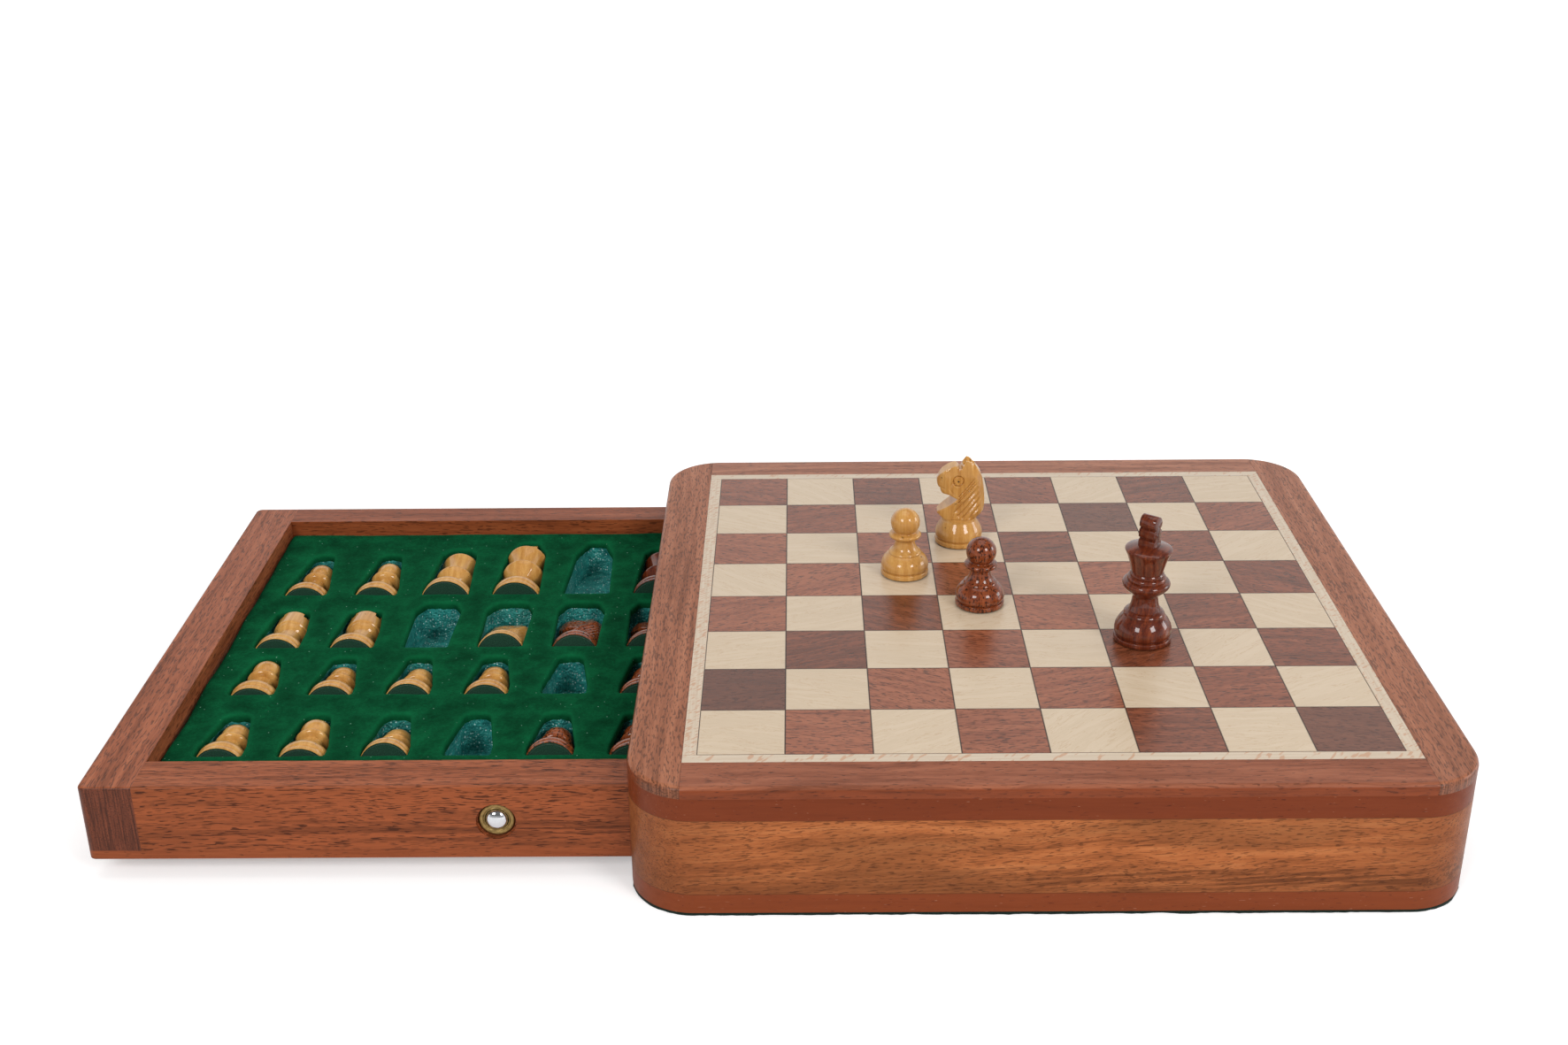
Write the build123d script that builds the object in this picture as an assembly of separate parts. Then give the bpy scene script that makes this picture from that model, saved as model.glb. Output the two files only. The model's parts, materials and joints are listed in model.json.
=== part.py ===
from build123d import *
import os
from math import atan2, degrees, hypot, sqrt

# Travelling chess box: a board on a sleeve, and a drawer that slides through the sleeve.
# Millimetres. The origin is the centre of the casing's underside, +X runs along the board
# to the right, +Y goes away from the player and +Z is up. At rest the drawer stands open to the left.

# Board, which sets the casing's plan
square_size = 26.5
squares_per_side = 8
square_thickness = 3.0
steel_thickness = 0.7
inlay_width = 4.3
stile_width = 16.7
rail_width = 14.5
joint_line = 0.12

# Casing
corner_radius = 20.0
wall_thickness = 19.4
wall_height = 26.0
base_felt_thickness = 1.0
base_felt_inset = 0.3
base_thickness = 6.5
subpanel_thickness = 7.4
top_edge_round = 1.6

# Drawer
drawer_open = 168.0
side_clearance = 0.6
slide_clearance = 0.2
end_panel_thickness = 16.8
front_side_thickness = 15.2
back_side_thickness = 13.0
drawer_bottom_thickness = 3.0
drawer_corner_round = 2.5
drawer_rim_round = 0.8

# Foam insert and its velvet cover
insert_gap = 0.2
velvet_drop = 5.2
velvet_thickness = 0.8
slot_depth = 20.2
end_column_inset = 17.8
row_gap_shares = (0.254, 0.272, 0.140, 0.138, 0.196)
man_clearance = 0.35
slot_corner_round = 3.6

# Ball catch in the drawer's front side
ball_radius = 3.0
ball_stand_out = 0.3
catch_recess = 1.0
catch_hole_radius = 6.2
housing_radius = 5.75
housing_length = 11.0
housing_bore_radius = 3.25
housing_lip_radius = 2.75
housing_lip_thickness = 0.35
housing_floor = 1.0
housing_fit = 0.05
spring_radius = 2.6
spring_wall = 0.5
spring_gap = 0.1
dimple_radius = 3.4
dimple_depth = 0.9

# Chessmen, all with the same foot
felt_disc_thickness = 0.4
felt_disc_inset = 0.4
foot_height = 1.5
groove_depth = 0.45
groove_height = 0.5
bulge_swell = 0.2
magnet_radius = 4.0
magnet_thickness = 2.5
magnet_fit = 0.05
bulge_top = 6.6
minor_base_radius = 8.8
pawn_base_radius = 8.5
pawn_head_radius = 5.2
pawn_head_height = 20.0
royal_base_radius = 9.6
king_crown_radius = 7.7
king_crown_height = 32.9
king_height = 45.0
finial_width = 5.8
finial_thickness = 4.8
finial_notch = 0.6
finial_notch_shares = (0.27, 0.61)
finial_round_rise = 2.2
queen_crown_radius = 7.1
queen_crown_height = 33.6
queen_height = 38.6
bishop_head_radius = 4.9
bishop_head_height = 26.4
bishop_height = 34.4
rook_head_radius = 6.5
rook_height = 27.4
rook_notch_width = 2.4
rook_notch_depth = 2.0
rook_well_radius = 4.4
horse_foot_height = 9.6
horse_height = 33.2
horse_thickness = 9.0
horse_back = 9.0
ear_half_width = 2.3
mane_groove_width = 0.9
mane_groove_depth = 0.5
mane_surface = 4.15
mane_turn = 9.5
eye_ring_radius = 1.9
eye_ring_width = 0.35

# Levels and faces that follow from the sizes above
field_size = squares_per_side * square_size
field_half = field_size / 2
opening_half = field_half + inlay_width
casing_length = 2 * (opening_half + stile_width)
casing_depth = 2 * (opening_half + rail_width)
base_level = base_felt_thickness
tunnel_floor = base_level + base_thickness
tunnel_roof = tunnel_floor + wall_height
subpanel_top = tunnel_roof + subpanel_thickness
board_top = subpanel_top + steel_thickness + square_thickness
wall_inner_y = casing_depth / 2 - wall_thickness
drawer_half_length = casing_length / 2
drawer_half_depth = wall_inner_y - side_clearance
drawer_x = -drawer_open
drawer_underside = tunnel_floor + slide_clearance
drawer_rim = tunnel_roof - slide_clearance
drawer_floor = drawer_underside + drawer_bottom_thickness
well_half_length = drawer_half_length - end_panel_thickness
column_pitch = 2 * (well_half_length - end_column_inset) / (squares_per_side - 1)
well_front_y = -drawer_half_depth + front_side_thickness
well_back_y = drawer_half_depth - back_side_thickness
velvet_top = drawer_rim - velvet_drop
foam_top = velvet_top - velvet_thickness
slot_floor = drawer_rim - slot_depth
catch_height = (drawer_underside + drawer_rim) / 2
catch_face_y = -drawer_half_depth + catch_recess
ball_y = -drawer_half_depth - ball_stand_out + ball_radius
overcut = 5.0


def block(x_low, x_high, y_low, y_high, z_low, z_high):
    """A box between two corners."""
    size = (x_high - x_low, y_high - y_low, z_high - z_low)
    middle = ((x_low + x_high) / 2, (y_low + y_high) / 2, (z_low + z_high) / 2)
    return Pos(*middle) * Box(*size)


def rounded_plate(length, depth, radius, z_low, z_high):
    """A plate with rounded corners in plan, centred on the origin."""
    outline = Pos(0, 0, z_low) * RectangleRounded(length, depth, radius)
    return extrude(outline, z_high - z_low)


def casing_plate(z_low, z_high):
    return rounded_plate(casing_length, casing_depth, corner_radius, z_low, z_high)


def half_space(side, y_inner):
    """The part of the casing's plan beyond y_inner on one side, -1 for the front and 1 for the back."""
    y_far = side * casing_depth
    y_near = side * y_inner
    return block(-casing_length, casing_length, min(y_near, y_far), max(y_near, y_far), 0, 2 * board_top)


# Casing


def base_felt():
    shrink = 2 * base_felt_inset
    return rounded_plate(casing_length - shrink, casing_depth - shrink, corner_radius - base_felt_inset,
                         0, base_felt_thickness)


def casing_wall(side):
    """A side wall of the sleeve: a solid rail whose ends round the casing's corners."""
    return casing_plate(tunnel_floor, tunnel_roof) & half_space(side, wall_inner_y)


def casing_front_wall():
    """The front wall has a dimple half way along, which the ball catch meets when the drawer is shut."""
    centre_y = -wall_inner_y - dimple_depth + dimple_radius
    return casing_wall(-1) - Pos(0, centre_y, catch_height) * Sphere(dimple_radius)


def top_frame():
    """The whole frame round the board, before it is cut into two stiles and two rails."""
    plate = casing_plate(subpanel_top, board_top)
    rim = plate.faces().sort_by(Axis.Z)[-1].edges()
    plate = fillet(rim, top_edge_round)
    opening = block(-opening_half, opening_half, -opening_half, opening_half, subpanel_top - 1, board_top + 1)
    return plate - opening


def frame_stile(side):
    """A stile runs the full depth of the casing at its left or right edge."""
    x_near = side * opening_half
    x_far = side * casing_length
    keep = block(min(x_near, x_far), max(x_near, x_far), -casing_depth, casing_depth, 0, 2 * board_top)
    return top_frame() & keep


def frame_rail(side):
    """A rail fits between the stiles, with a fine joint line at each end."""
    reach = opening_half - joint_line / 2
    y_near = side * opening_half
    y_far = side * casing_depth
    keep = block(-reach, reach, min(y_near, y_far), max(y_near, y_far), 0, 2 * board_top)
    return top_frame() & keep


def inlay_strip(x_low, x_high, y_low, y_high):
    """A pale strip on the steel sheet, a joint line smaller than its place."""
    gap = joint_line / 2
    return block(x_low + gap, x_high - gap, y_low + gap, y_high - gap, board_top - square_thickness, board_top)


def board_squares(colour):
    """The 32 squares of one colour: 0 is light and has the corner at front left, 1 is dark."""
    half = square_size / 2 - joint_line / 2
    squares = []
    for column in range(squares_per_side):
        for row in range(squares_per_side):
            if (column + row) % 2 == colour:
                x = (column + 0.5) * square_size - field_half
                y = (row + 0.5) * square_size - field_half
                squares.append(block(x - half, x + half, y - half, y + half,
                                     board_top - square_thickness, board_top))
    return squares


# Drawer, modelled shut and centred on x = 0, and moved to its open place at the end


def drawer_body_plate(z_low, z_high):
    """The drawer's plan, with its small corner rounds."""
    return rounded_plate(2 * drawer_half_length, 2 * drawer_half_depth, drawer_corner_round, z_low, z_high)


def drawer_ring():
    """All four sides of the drawer in one, with the softened rim, before they are cut apart."""
    plate = drawer_body_plate(drawer_floor, drawer_rim)
    rim = plate.faces().sort_by(Axis.Z)[-1].edges()
    plate = fillet(rim, drawer_rim_round)
    well = block(-well_half_length, well_half_length, well_front_y, well_back_y, drawer_floor - 1, drawer_rim + 1)
    return plate - well


def drawer_end(side):
    """An end panel runs across the whole drawer, so its end grain shows at the front."""
    x_near = side * well_half_length
    x_far = side * 2 * drawer_half_length
    keep = block(min(x_near, x_far), max(x_near, x_far), -casing_depth, casing_depth, 0, board_top)
    return drawer_ring() & keep


def drawer_side(side):
    """A long side of the drawer, between the end panels."""
    y_near = well_front_y if side < 0 else well_back_y
    y_far = side * casing_depth
    keep = block(-well_half_length, well_half_length, min(y_near, y_far), max(y_near, y_far), 0, board_top)
    return drawer_ring() & keep


def along_y(radius, y_low, y_high):
    """A round bar along Y at the height of the ball catch."""
    bar = Rot(X=-90) * Cylinder(radius, y_high - y_low)
    return Pos(0, (y_low + y_high) / 2, catch_height) * bar


def drawer_front_side():
    """The front side carries the ball catch: a wide mouth, then a hole that holds the housing."""
    side = drawer_side(-1)
    mouth = along_y(catch_hole_radius, -drawer_half_depth - 1, catch_face_y)
    seat = along_y(housing_radius + housing_fit, -drawer_half_depth - 1, catch_face_y + housing_length)
    return side - mouth - seat


def catch_housing():
    """A brass cup with a lip that keeps the ball in."""
    back = catch_face_y + housing_length
    cup = along_y(housing_radius, catch_face_y, back)
    bore = along_y(housing_bore_radius, catch_face_y + housing_lip_thickness, back - housing_floor)
    mouth = along_y(housing_lip_radius, catch_face_y - 1, catch_face_y + housing_lip_thickness + 1)
    return cup - bore - mouth


def catch_spring():
    """The spring behind the ball, as a sleeve of the coil's outer and inner radius."""
    inner_radius = spring_radius - spring_wall
    start = ball_y + sqrt(ball_radius**2 - inner_radius**2) + spring_gap
    end = catch_face_y + housing_length - housing_floor
    return along_y(spring_radius, start, end) - along_y(inner_radius, start - 1, end + 1)


def catch_ball():
    return Pos(0, ball_y, catch_height) * Sphere(ball_radius)


# Chessmen, standing on z = 0


def upright_face(plane, lines):
    """The face inside a closed run of lines, drawn flat and stood up in the plane."""
    return plane * make_face([edge for line in lines for edge in line.edges()])


def turned(base_radius, shoulder_radius, shoulder_height, upper, cap=None):
    """A turned body on the foot that all the men share, up to the outline points in upper.

    cap, if given, is a point that an arc passes through on its way from the last point to the axis.
    """
    foot_top = felt_disc_thickness + foot_height
    bulge_start = (base_radius - groove_depth, foot_top + groove_height)
    bulge_end = (shoulder_radius, shoulder_height)
    run = bulge_end[0] - bulge_start[0]
    rise = bulge_end[1] - bulge_start[1]
    swell = bulge_swell * hypot(run, rise)
    bulge_middle = ((bulge_start[0] + bulge_end[0]) / 2 + swell * rise / hypot(run, rise),
                    (bulge_start[1] + bulge_end[1]) / 2 - swell * run / hypot(run, rise))
    foot = [(0, felt_disc_thickness), (base_radius, felt_disc_thickness), (base_radius, foot_top),
            (base_radius - groove_depth, foot_top + groove_height / 2), bulge_start]
    top = (0, upper[-1][1]) if cap is None else (0, cap[1][1])
    edges = [Polyline(*foot), ThreePointArc(bulge_start, bulge_middle, bulge_end), Polyline(bulge_end, *upper)]
    if cap is None:
        edges.append(Polyline(upper[-1], top, foot[0]))
    else:
        edges.append(ThreePointArc(upper[-1], cap[0], top))
        edges.append(Line(top, foot[0]))
    return revolve(upright_face(Plane.XZ, edges), Axis.Z)


def ball_cap(radius, centre_height, from_height):
    """The start point, the widest point and the top of a ball that ends a turned body."""
    start_radius = sqrt(radius**2 - (centre_height - from_height)**2)
    return (start_radius, from_height), ((radius, centre_height), (0, centre_height + radius))


def footed(body, base_radius):
    """The body with its magnet sunk in the base and the felt disc under it."""
    pocket_top = felt_disc_thickness + magnet_thickness
    pocket = extrude(Pos(0, 0, felt_disc_thickness) * Circle(magnet_radius + magnet_fit), magnet_thickness)
    magnet = extrude(Pos(0, 0, felt_disc_thickness) * Circle(magnet_radius), pocket_top - felt_disc_thickness)
    felt = extrude(Circle(base_radius - felt_disc_inset), felt_disc_thickness)
    return [body - pocket, magnet, felt]


def pawn():
    neck_top = pawn_head_height - 3.4
    start, cap = ball_cap(pawn_head_radius, pawn_head_height, neck_top)
    upper = [(5.45, 9.3), (4.5, 9.9), (3.75, 11.6), (3.4, 13.9), (5.2, 14.4), (5.7, 15.3), (5.2, 16.2), start]
    return footed(turned(pawn_base_radius, 5.6, 8.2, upper, cap), pawn_base_radius)


def king():
    """A flared crown on a double collar, with a notched block for a finial."""
    crown_top = king_crown_height + 1.1
    upper = [(6.5, 10.8), (5.3, 11.5), (4.5, 13.4), (4.1, 16.4), (7.3, 19.6), (7.9, 20.8), (7.2, 22.0),
             (6.1, 22.3), (6.2, 23.4), (5.5, 24.0), (5.3, 25.2),
             (king_crown_radius, king_crown_height), (king_crown_radius - 0.5, king_crown_height + 0.5),
             (3.2, crown_top)]
    body = turned(royal_base_radius, 6.7, 9.4, upper)
    half = finial_thickness / 2
    corners = [(half, crown_top - 1)]
    for share in finial_notch_shares:
        height = crown_top + share * (king_height - crown_top)
        corners += [(half, height - finial_notch), (half - finial_notch, height), (half, height + finial_notch)]
    corners.append((half, king_height - finial_round_rise))
    mirrored = [(-y, z) for y, z in corners]
    outline = [Polyline(*corners), ThreePointArc(corners[-1], (0, king_height), mirrored[-1]),
               Polyline(*reversed(mirrored)), Line(mirrored[0], corners[0])]
    finial = extrude(upright_face(Plane.YZ, outline), finial_width / 2, both=True)
    return footed(body + finial, royal_base_radius)


def queen():
    """A flared crown like the king's, with a hollow rim and a small ball."""
    ball_radius_top = 2.1
    ball_centre = queen_height - ball_radius_top
    start, cap = ball_cap(ball_radius_top, ball_centre, queen_crown_height + 1.6)
    upper = [(6.2, 10.4), (5.0, 11.1), (4.2, 13.0), (3.8, 16.0), (6.8, 18.9), (7.4, 20.0), (6.8, 21.1),
             (5.8, 21.4), (5.9, 22.4), (5.2, 23.0), (4.9, 24.4),
             (queen_crown_radius, queen_crown_height), (queen_crown_radius - 0.8, queen_crown_height + 0.5),
             (3.6, queen_crown_height + 0.9), start]
    return footed(turned(royal_base_radius, 6.5, 9.2, upper, cap), royal_base_radius)


def bishop():
    """A mitre with a slanting cut, on a collar."""
    tip_start = bishop_height - 3.6
    bead = ball_cap(1.7, bishop_height - 1.7, bishop_height - 3.1)
    upper = [(5.6, 9.8), (4.4, 10.6), (3.6, 13.0), (3.1, 17.6), (5.2, 18.6), (5.7, 19.6), (5.1, 20.6),
             (3.6, 21.0), (3.7, 22.0), (bishop_head_radius - 0.5, bishop_head_height - 2.4),
             (bishop_head_radius, bishop_head_height), (bishop_head_radius - 0.6, bishop_head_height + 2.2),
             (1.6, tip_start), bead[0]]
    body = turned(minor_base_radius, 5.8, 8.7, upper, bead[1])
    cut = Pos(2.4, 0, bishop_head_height + 2.6) * Rot(Y=-32) * Box(7.0, 2 * bishop_head_radius + 2, 0.9)
    return footed(body - cut, minor_base_radius)


def rook():
    """A tower with a sunken top and four notches."""
    upper = [(5.7, 10.0), (4.9, 10.8), (4.4, 13.4), (4.3, 17.0), (5.6, 18.4), (5.9, 19.4),
             (rook_head_radius, 20.4), (rook_head_radius, rook_height)]
    body = turned(minor_base_radius, 6.0, 9.0, upper)
    body -= extrude(Pos(0, 0, rook_height - rook_notch_depth) * Circle(rook_well_radius), rook_notch_depth + 1)
    for angle in (45, 135):
        notch = Box(3 * rook_head_radius, rook_notch_width, 2 * rook_notch_depth)
        body -= Pos(0, 0, rook_height) * Rot(Z=angle) * notch
    return footed(body, minor_base_radius)


def horse():
    """The carved horse: a side outline and a front outline cut from a blank that is oval in plan."""
    bottom = horse_foot_height
    rump = (8.8, 12.4)
    ear = (2.2, horse_height)
    brow = (-2.2, 31.0)
    nose = (-8.5, 25.6)
    lip = (-8.3, 23.4)
    chin = (-6.2, 20.5)
    throat = (-1.3, 18.5)
    chest = (-8.1, 13.0)
    outline = [
        Line((6.4, bottom), rump),
        Spline(rump, (horse_back, 18.4), (7.6, 27.2), (5.0, 31.2), ear),
        Polyline(ear, (0.5, horse_height - 2.0), (-0.5, horse_height - 3.6), brow),
        Spline(brow, (-5.0, 29.7), (-7.7, 27.5), nose),
        Polyline(nose, lip, (-7.4, 22.4), (-6.9, 21.0), chin),
        Spline(chin, (-4.0, 19.8), throat),
        Spline(throat, (-4.6, 15.6), chest),
        Polyline(chest, (-6.4, bottom), (6.4, bottom)),
    ]
    solid = extrude(upright_face(Plane.XZ, outline), horse_thickness, both=True)
    half = horse_thickness / 2
    gap = ear_half_width / 3
    front = [(half, bottom), (half, 18.0), (ear_half_width + 1.2, 27.0), (ear_half_width, horse_height),
             (gap, horse_height), (0, horse_height - 2.4)]
    mirrored = [(-y, z) for y, z in reversed(front[:-1])]
    solid &= extrude(upright_face(Plane.YZ, [Polyline(*front, *mirrored, close=True)]), 2 * horse_back, both=True)
    blank = Pos(0, 0, bottom) * Ellipse(horse_back + 0.3, half)
    return solid & extrude(blank, horse_height)


def mane_grooves():
    """Slanting cuts on both cheeks, from the crest down to the neck."""
    grooves = []
    for face_side in (-1, 1):
        for index in range(3):
            bar = Box(11.0 - 1.5 * index, 2 * mane_groove_depth, mane_groove_width)
            place = Pos(3.2 + 0.9 * index, face_side * (mane_surface - 0.1 * index), 22.4 - 3.2 * index)
            grooves.append(place * Rot(Z=-mane_turn * face_side) * Rot(Y=-54) * bar)
    return grooves


def eye_rings():
    """A shallow ring round each eye."""
    rings = []
    for face_side in (-1, 1):
        disc = Cylinder(eye_ring_radius, 1.2) - Cylinder(eye_ring_radius - eye_ring_width, 2.0)
        rings.append(Pos(-1.0, face_side * horse_thickness * 0.42, 25.2) * Rot(X=90) * disc)
    return rings


def knight():
    """The horse stands on a low turned foot."""
    upper = [(6.3, horse_foot_height)]
    body = turned(minor_base_radius, 6.4, 9.1, upper) + horse()
    for cut in mane_grooves() + eye_rings():
        body -= cut
    return footed(body, minor_base_radius)


# For each man: how to make it, its base radius, and the touching radius and height of its head,
# which set the tilt at which it lies, then the half width and place of its slot's shoulder, where
# that isn't at the foot, and the half width at the head end.
men = {
    "pawn": (pawn, pawn_base_radius, pawn_head_radius, pawn_head_height,
             None, pawn_head_radius + man_clearance),
    "rook": (rook, minor_base_radius, rook_head_radius, rook_height,
             (minor_base_radius + man_clearance, 12.0), rook_head_radius + man_clearance + 0.5),
    "knight": (knight, minor_base_radius, horse_thickness / 2, 22.0,
               (horse_back + 2 * man_clearance, horse_height - 5.0), 7.0),
    "bishop": (bishop, minor_base_radius, bishop_head_radius, bishop_head_height,
               None, bishop_head_radius + man_clearance),
    "queen": (queen, royal_base_radius, queen_crown_radius, queen_crown_height,
              (queen_crown_radius + 2 * man_clearance, queen_crown_height + 1.5), 4.8),
    "king": (king, royal_base_radius, king_crown_radius, king_crown_height,
             (king_crown_radius + 2 * man_clearance, king_crown_height + 1.5), 4.6),
}


# Every kind of man is made once and copied to its places
shaped = {kind: details[0]() for kind, details in men.items()}


def resting_droop(kind):
    """How far a head droops, in degrees, where the foot and the head both rest on the slot's floor."""
    base_radius, head_radius, head_height = men[kind][1:4]
    return degrees(atan2(base_radius - head_radius, head_height - felt_disc_thickness - foot_height))


def lying(kind, droop):
    """A man on its side: foot towards the front, its head lower by a droop in degrees, front edge at y = 0."""
    turn = Rot(X=-(90 + droop))
    solids = [turn * solid for solid in shaped[kind]]
    box = Compound(children=solids).bounding_box()
    shift = Pos(0, man_clearance - box.min.Y, man_clearance - box.min.Z)
    return [shift * solid for solid in solids], box.size.Y + 2 * man_clearance


def slot_outline(kind, length):
    """A slot's plan: wide at the foot, narrow and rounded at the head, front edge at y = 0."""
    base_radius, shoulder, end_half = men[kind][1], men[kind][4], men[kind][5]
    front_half = base_radius + man_clearance
    right = [(front_half, 0)]
    if shoulder is None:
        right.append((front_half, bulge_top))
    else:
        right.append(shoulder)
    right.append((end_half, length))
    left = [(-x, y) for x, y in reversed(right)]
    outline = make_face(Polyline(*right, *left, close=True))
    ends = [corner for corner in outline.vertices() if corner.Y > length - 0.01]
    return fillet(ends, min(slot_corner_round, end_half * 0.9))


# The rows from front to back, each from the left, with the colour of each man and whether it lies there
cream, dark = "cream", "dark"
rows = (
    [("pawn", cream, True)] * 3 + [("pawn", cream, False)] + [("pawn", dark, True)] * 4,
    [("pawn", cream, True)] * 4 + [("pawn", dark, False)] + [("pawn", dark, True)] * 3,
    [("rook", cream, True)] * 2 + [("knight", cream, False), ("knight", cream, True)]
    + [("knight", dark, True)] * 2 + [("rook", dark, True)] * 2,
    [("bishop", cream, True)] * 2 + [("queen", cream, True), ("king", cream, True)]
    + [("king", dark, False), ("queen", dark, True)] + [("bishop", dark, True)] * 2,
)
# How far the heads droop in those places, in degrees, as the photo shows them. The narrow end of a slot
# pinches most of the heads before they reach its floor.
droops = (
    (1.2, -3.6, 10.2, 10.2, 8.5, 4.0, 6.5, 2.0),
    (-5.0, 3.0, 6.4, 3.7, 6.0, 5.0, 2.0, 6.0),
    (1.8, 1.2, 12.0, 12.0, 7.0, 9.0, 2.0, 1.5),
    (0.1, -0.9, 3.4, -2.4, 3.5, 3.0, 1.0, 0.5),
)
# The men on the board: kind, colour, place of the foot's centre and the turn about the upright axis
board_men = (
    ("pawn", cream, -37.0, 18.4, 0),
    ("knight", cream, -15.4, 45.6, 0),
    ("pawn", dark, -12.3, -6.6, 0),
    ("king", dark, 39.6, -33.2, -40),
)


def insert_block(z_low, z_high):
    return block(-well_half_length + insert_gap, well_half_length - insert_gap,
                 well_front_y + insert_gap, well_back_y - insert_gap, z_low, z_high)


def slots():
    """Every slot as an upright cutter, and the men that lie in them with their places."""
    lengths = {kind: lying(kind, resting_droop(kind))[1] for kind in men}
    row_lengths = [max(lengths[kind] for kind, colour, present in line) for line in rows]
    spare = well_back_y - well_front_y - sum(row_lengths)
    cutters, placed = [], []
    row_start = well_front_y
    for row, line in enumerate(rows):
        row_start += row_gap_shares[row] * spare + (row_lengths[row - 1] if row else 0)
        print("row", row + 1, "starts at", row_start)
        for column, (kind, colour, present) in enumerate(line):
            x = (column - (len(line) - 1) / 2) * column_pitch
            here = Pos(x, row_start, slot_floor)
            cutters.append(here * extrude(slot_outline(kind, lengths[kind]), slot_depth + overcut))
            if present:
                solids = lying(kind, droops[row][column])[0]
                placed.append((kind, colour, [here * solid for solid in solids]))
    return cutters, placed


# Assembly

cutters, stored = slots()
foam = insert_block(drawer_floor, foam_top) - cutters
velvet = insert_block(foam_top, velvet_top) - cutters

gap_high = board_top - square_thickness
nodes = {
    "base_felt": [base_felt()],
    "base_panel": [casing_plate(base_level, tunnel_floor)],
    "casing_front_wall": [casing_front_wall()],
    "casing_back_wall": [casing_wall(1)],
    "board_subpanel": [casing_plate(tunnel_roof, subpanel_top)],
    "steel_sheet": [block(-opening_half, opening_half, -opening_half, opening_half, subpanel_top, gap_high)],
    "frame_stile_left": [frame_stile(-1)],
    "frame_stile_right": [frame_stile(1)],
    "frame_rail_front": [frame_rail(-1)],
    "frame_rail_back": [frame_rail(1)],
    "inlay_front": [inlay_strip(-opening_half, opening_half, -opening_half, -field_half)],
    "inlay_back": [inlay_strip(-opening_half, opening_half, field_half, opening_half)],
    "inlay_left": [inlay_strip(-opening_half, -field_half, -field_half, field_half)],
    "inlay_right": [inlay_strip(field_half, opening_half, -field_half, field_half)],
    "light_squares": board_squares(0),
    "dark_squares": board_squares(1),
}

drawer_nodes = {
    "drawer_end_left": [drawer_end(-1)],
    "drawer_end_right": [drawer_end(1)],
    "drawer_side_front": [drawer_front_side()],
    "drawer_side_back": [drawer_side(1)],
    "drawer_bottom": [drawer_body_plate(drawer_underside, drawer_floor)],
    "foam_insert": [foam],
    "velvet_cover": [velvet],
    "catch_housing": [catch_housing()],
    "catch_spring": [catch_spring()],
    "catch_ball": [catch_ball()],
}

counts = {}


def man_name(kind, colour):
    """cream_king, or cream_pawn_1, cream_pawn_2 and so on where there are more of a kind."""
    if kind in ("king", "queen"):
        return colour + "_" + kind
    counts[kind, colour] = counts.get((kind, colour), 0) + 1
    return f"{colour}_{kind}_{counts[kind, colour]}"


for kind, colour, solids in stored:
    drawer_nodes[man_name(kind, colour)] = solids

to_open = Pos(drawer_x, 0, 0)
for name, solids in drawer_nodes.items():
    nodes[name] = [to_open * solid for solid in solids]

for kind, colour, x, y, turn in board_men:
    place = Pos(x, y, board_top) * Rot(Z=turn)
    nodes[man_name(kind, colour)] = [place * solid for solid in shaped[kind]]

os.makedirs("parts", exist_ok=True)
for name, solids in nodes.items():
    pieces = [piece for solid in solids for piece in solid.solids()]
    export_step(Compound(children=pieces), f"parts/{name}.step")
print(len(nodes), "nodes")
print("drawer rim", drawer_rim, "velvet", velvet_top, "slot floor", slot_floor, "board top", board_top)
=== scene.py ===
import json
import math
from functools import partialmethod

import bpy
import numpy as np
from mathutils import Matrix, Vector, noise
from mathutils.geometry import delaunay_2d_cdt

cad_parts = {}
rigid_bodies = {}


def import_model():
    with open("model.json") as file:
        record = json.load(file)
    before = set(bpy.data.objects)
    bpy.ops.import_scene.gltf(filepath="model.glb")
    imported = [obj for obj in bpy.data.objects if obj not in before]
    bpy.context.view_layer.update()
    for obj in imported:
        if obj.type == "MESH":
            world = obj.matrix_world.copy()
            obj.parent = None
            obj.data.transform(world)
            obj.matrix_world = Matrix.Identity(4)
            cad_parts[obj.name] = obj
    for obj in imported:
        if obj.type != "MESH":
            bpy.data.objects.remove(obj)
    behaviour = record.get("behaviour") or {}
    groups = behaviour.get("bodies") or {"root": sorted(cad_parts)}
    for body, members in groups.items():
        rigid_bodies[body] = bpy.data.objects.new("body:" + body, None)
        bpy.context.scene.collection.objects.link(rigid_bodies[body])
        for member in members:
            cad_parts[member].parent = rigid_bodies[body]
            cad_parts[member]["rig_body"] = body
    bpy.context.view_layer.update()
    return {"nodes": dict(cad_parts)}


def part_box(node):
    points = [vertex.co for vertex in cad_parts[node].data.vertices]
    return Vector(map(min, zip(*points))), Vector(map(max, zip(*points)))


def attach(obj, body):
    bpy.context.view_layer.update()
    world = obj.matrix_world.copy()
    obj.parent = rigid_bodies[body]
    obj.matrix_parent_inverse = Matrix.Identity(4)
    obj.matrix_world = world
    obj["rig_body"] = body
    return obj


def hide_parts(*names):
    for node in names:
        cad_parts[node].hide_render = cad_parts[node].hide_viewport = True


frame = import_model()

# The looks of a travelling chess box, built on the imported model. Metres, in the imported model's frame.
# The shapes below are written in millimetres and scaled by MM.

MM = 0.001
PER_METRE = 1000.0
nodes = frame["nodes"]


def linked(name, data):
    made = bpy.data.objects.new(name, data)
    bpy.context.scene.collection.objects.link(made)
    return made


# Camera at the photograph's viewing angle

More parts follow.
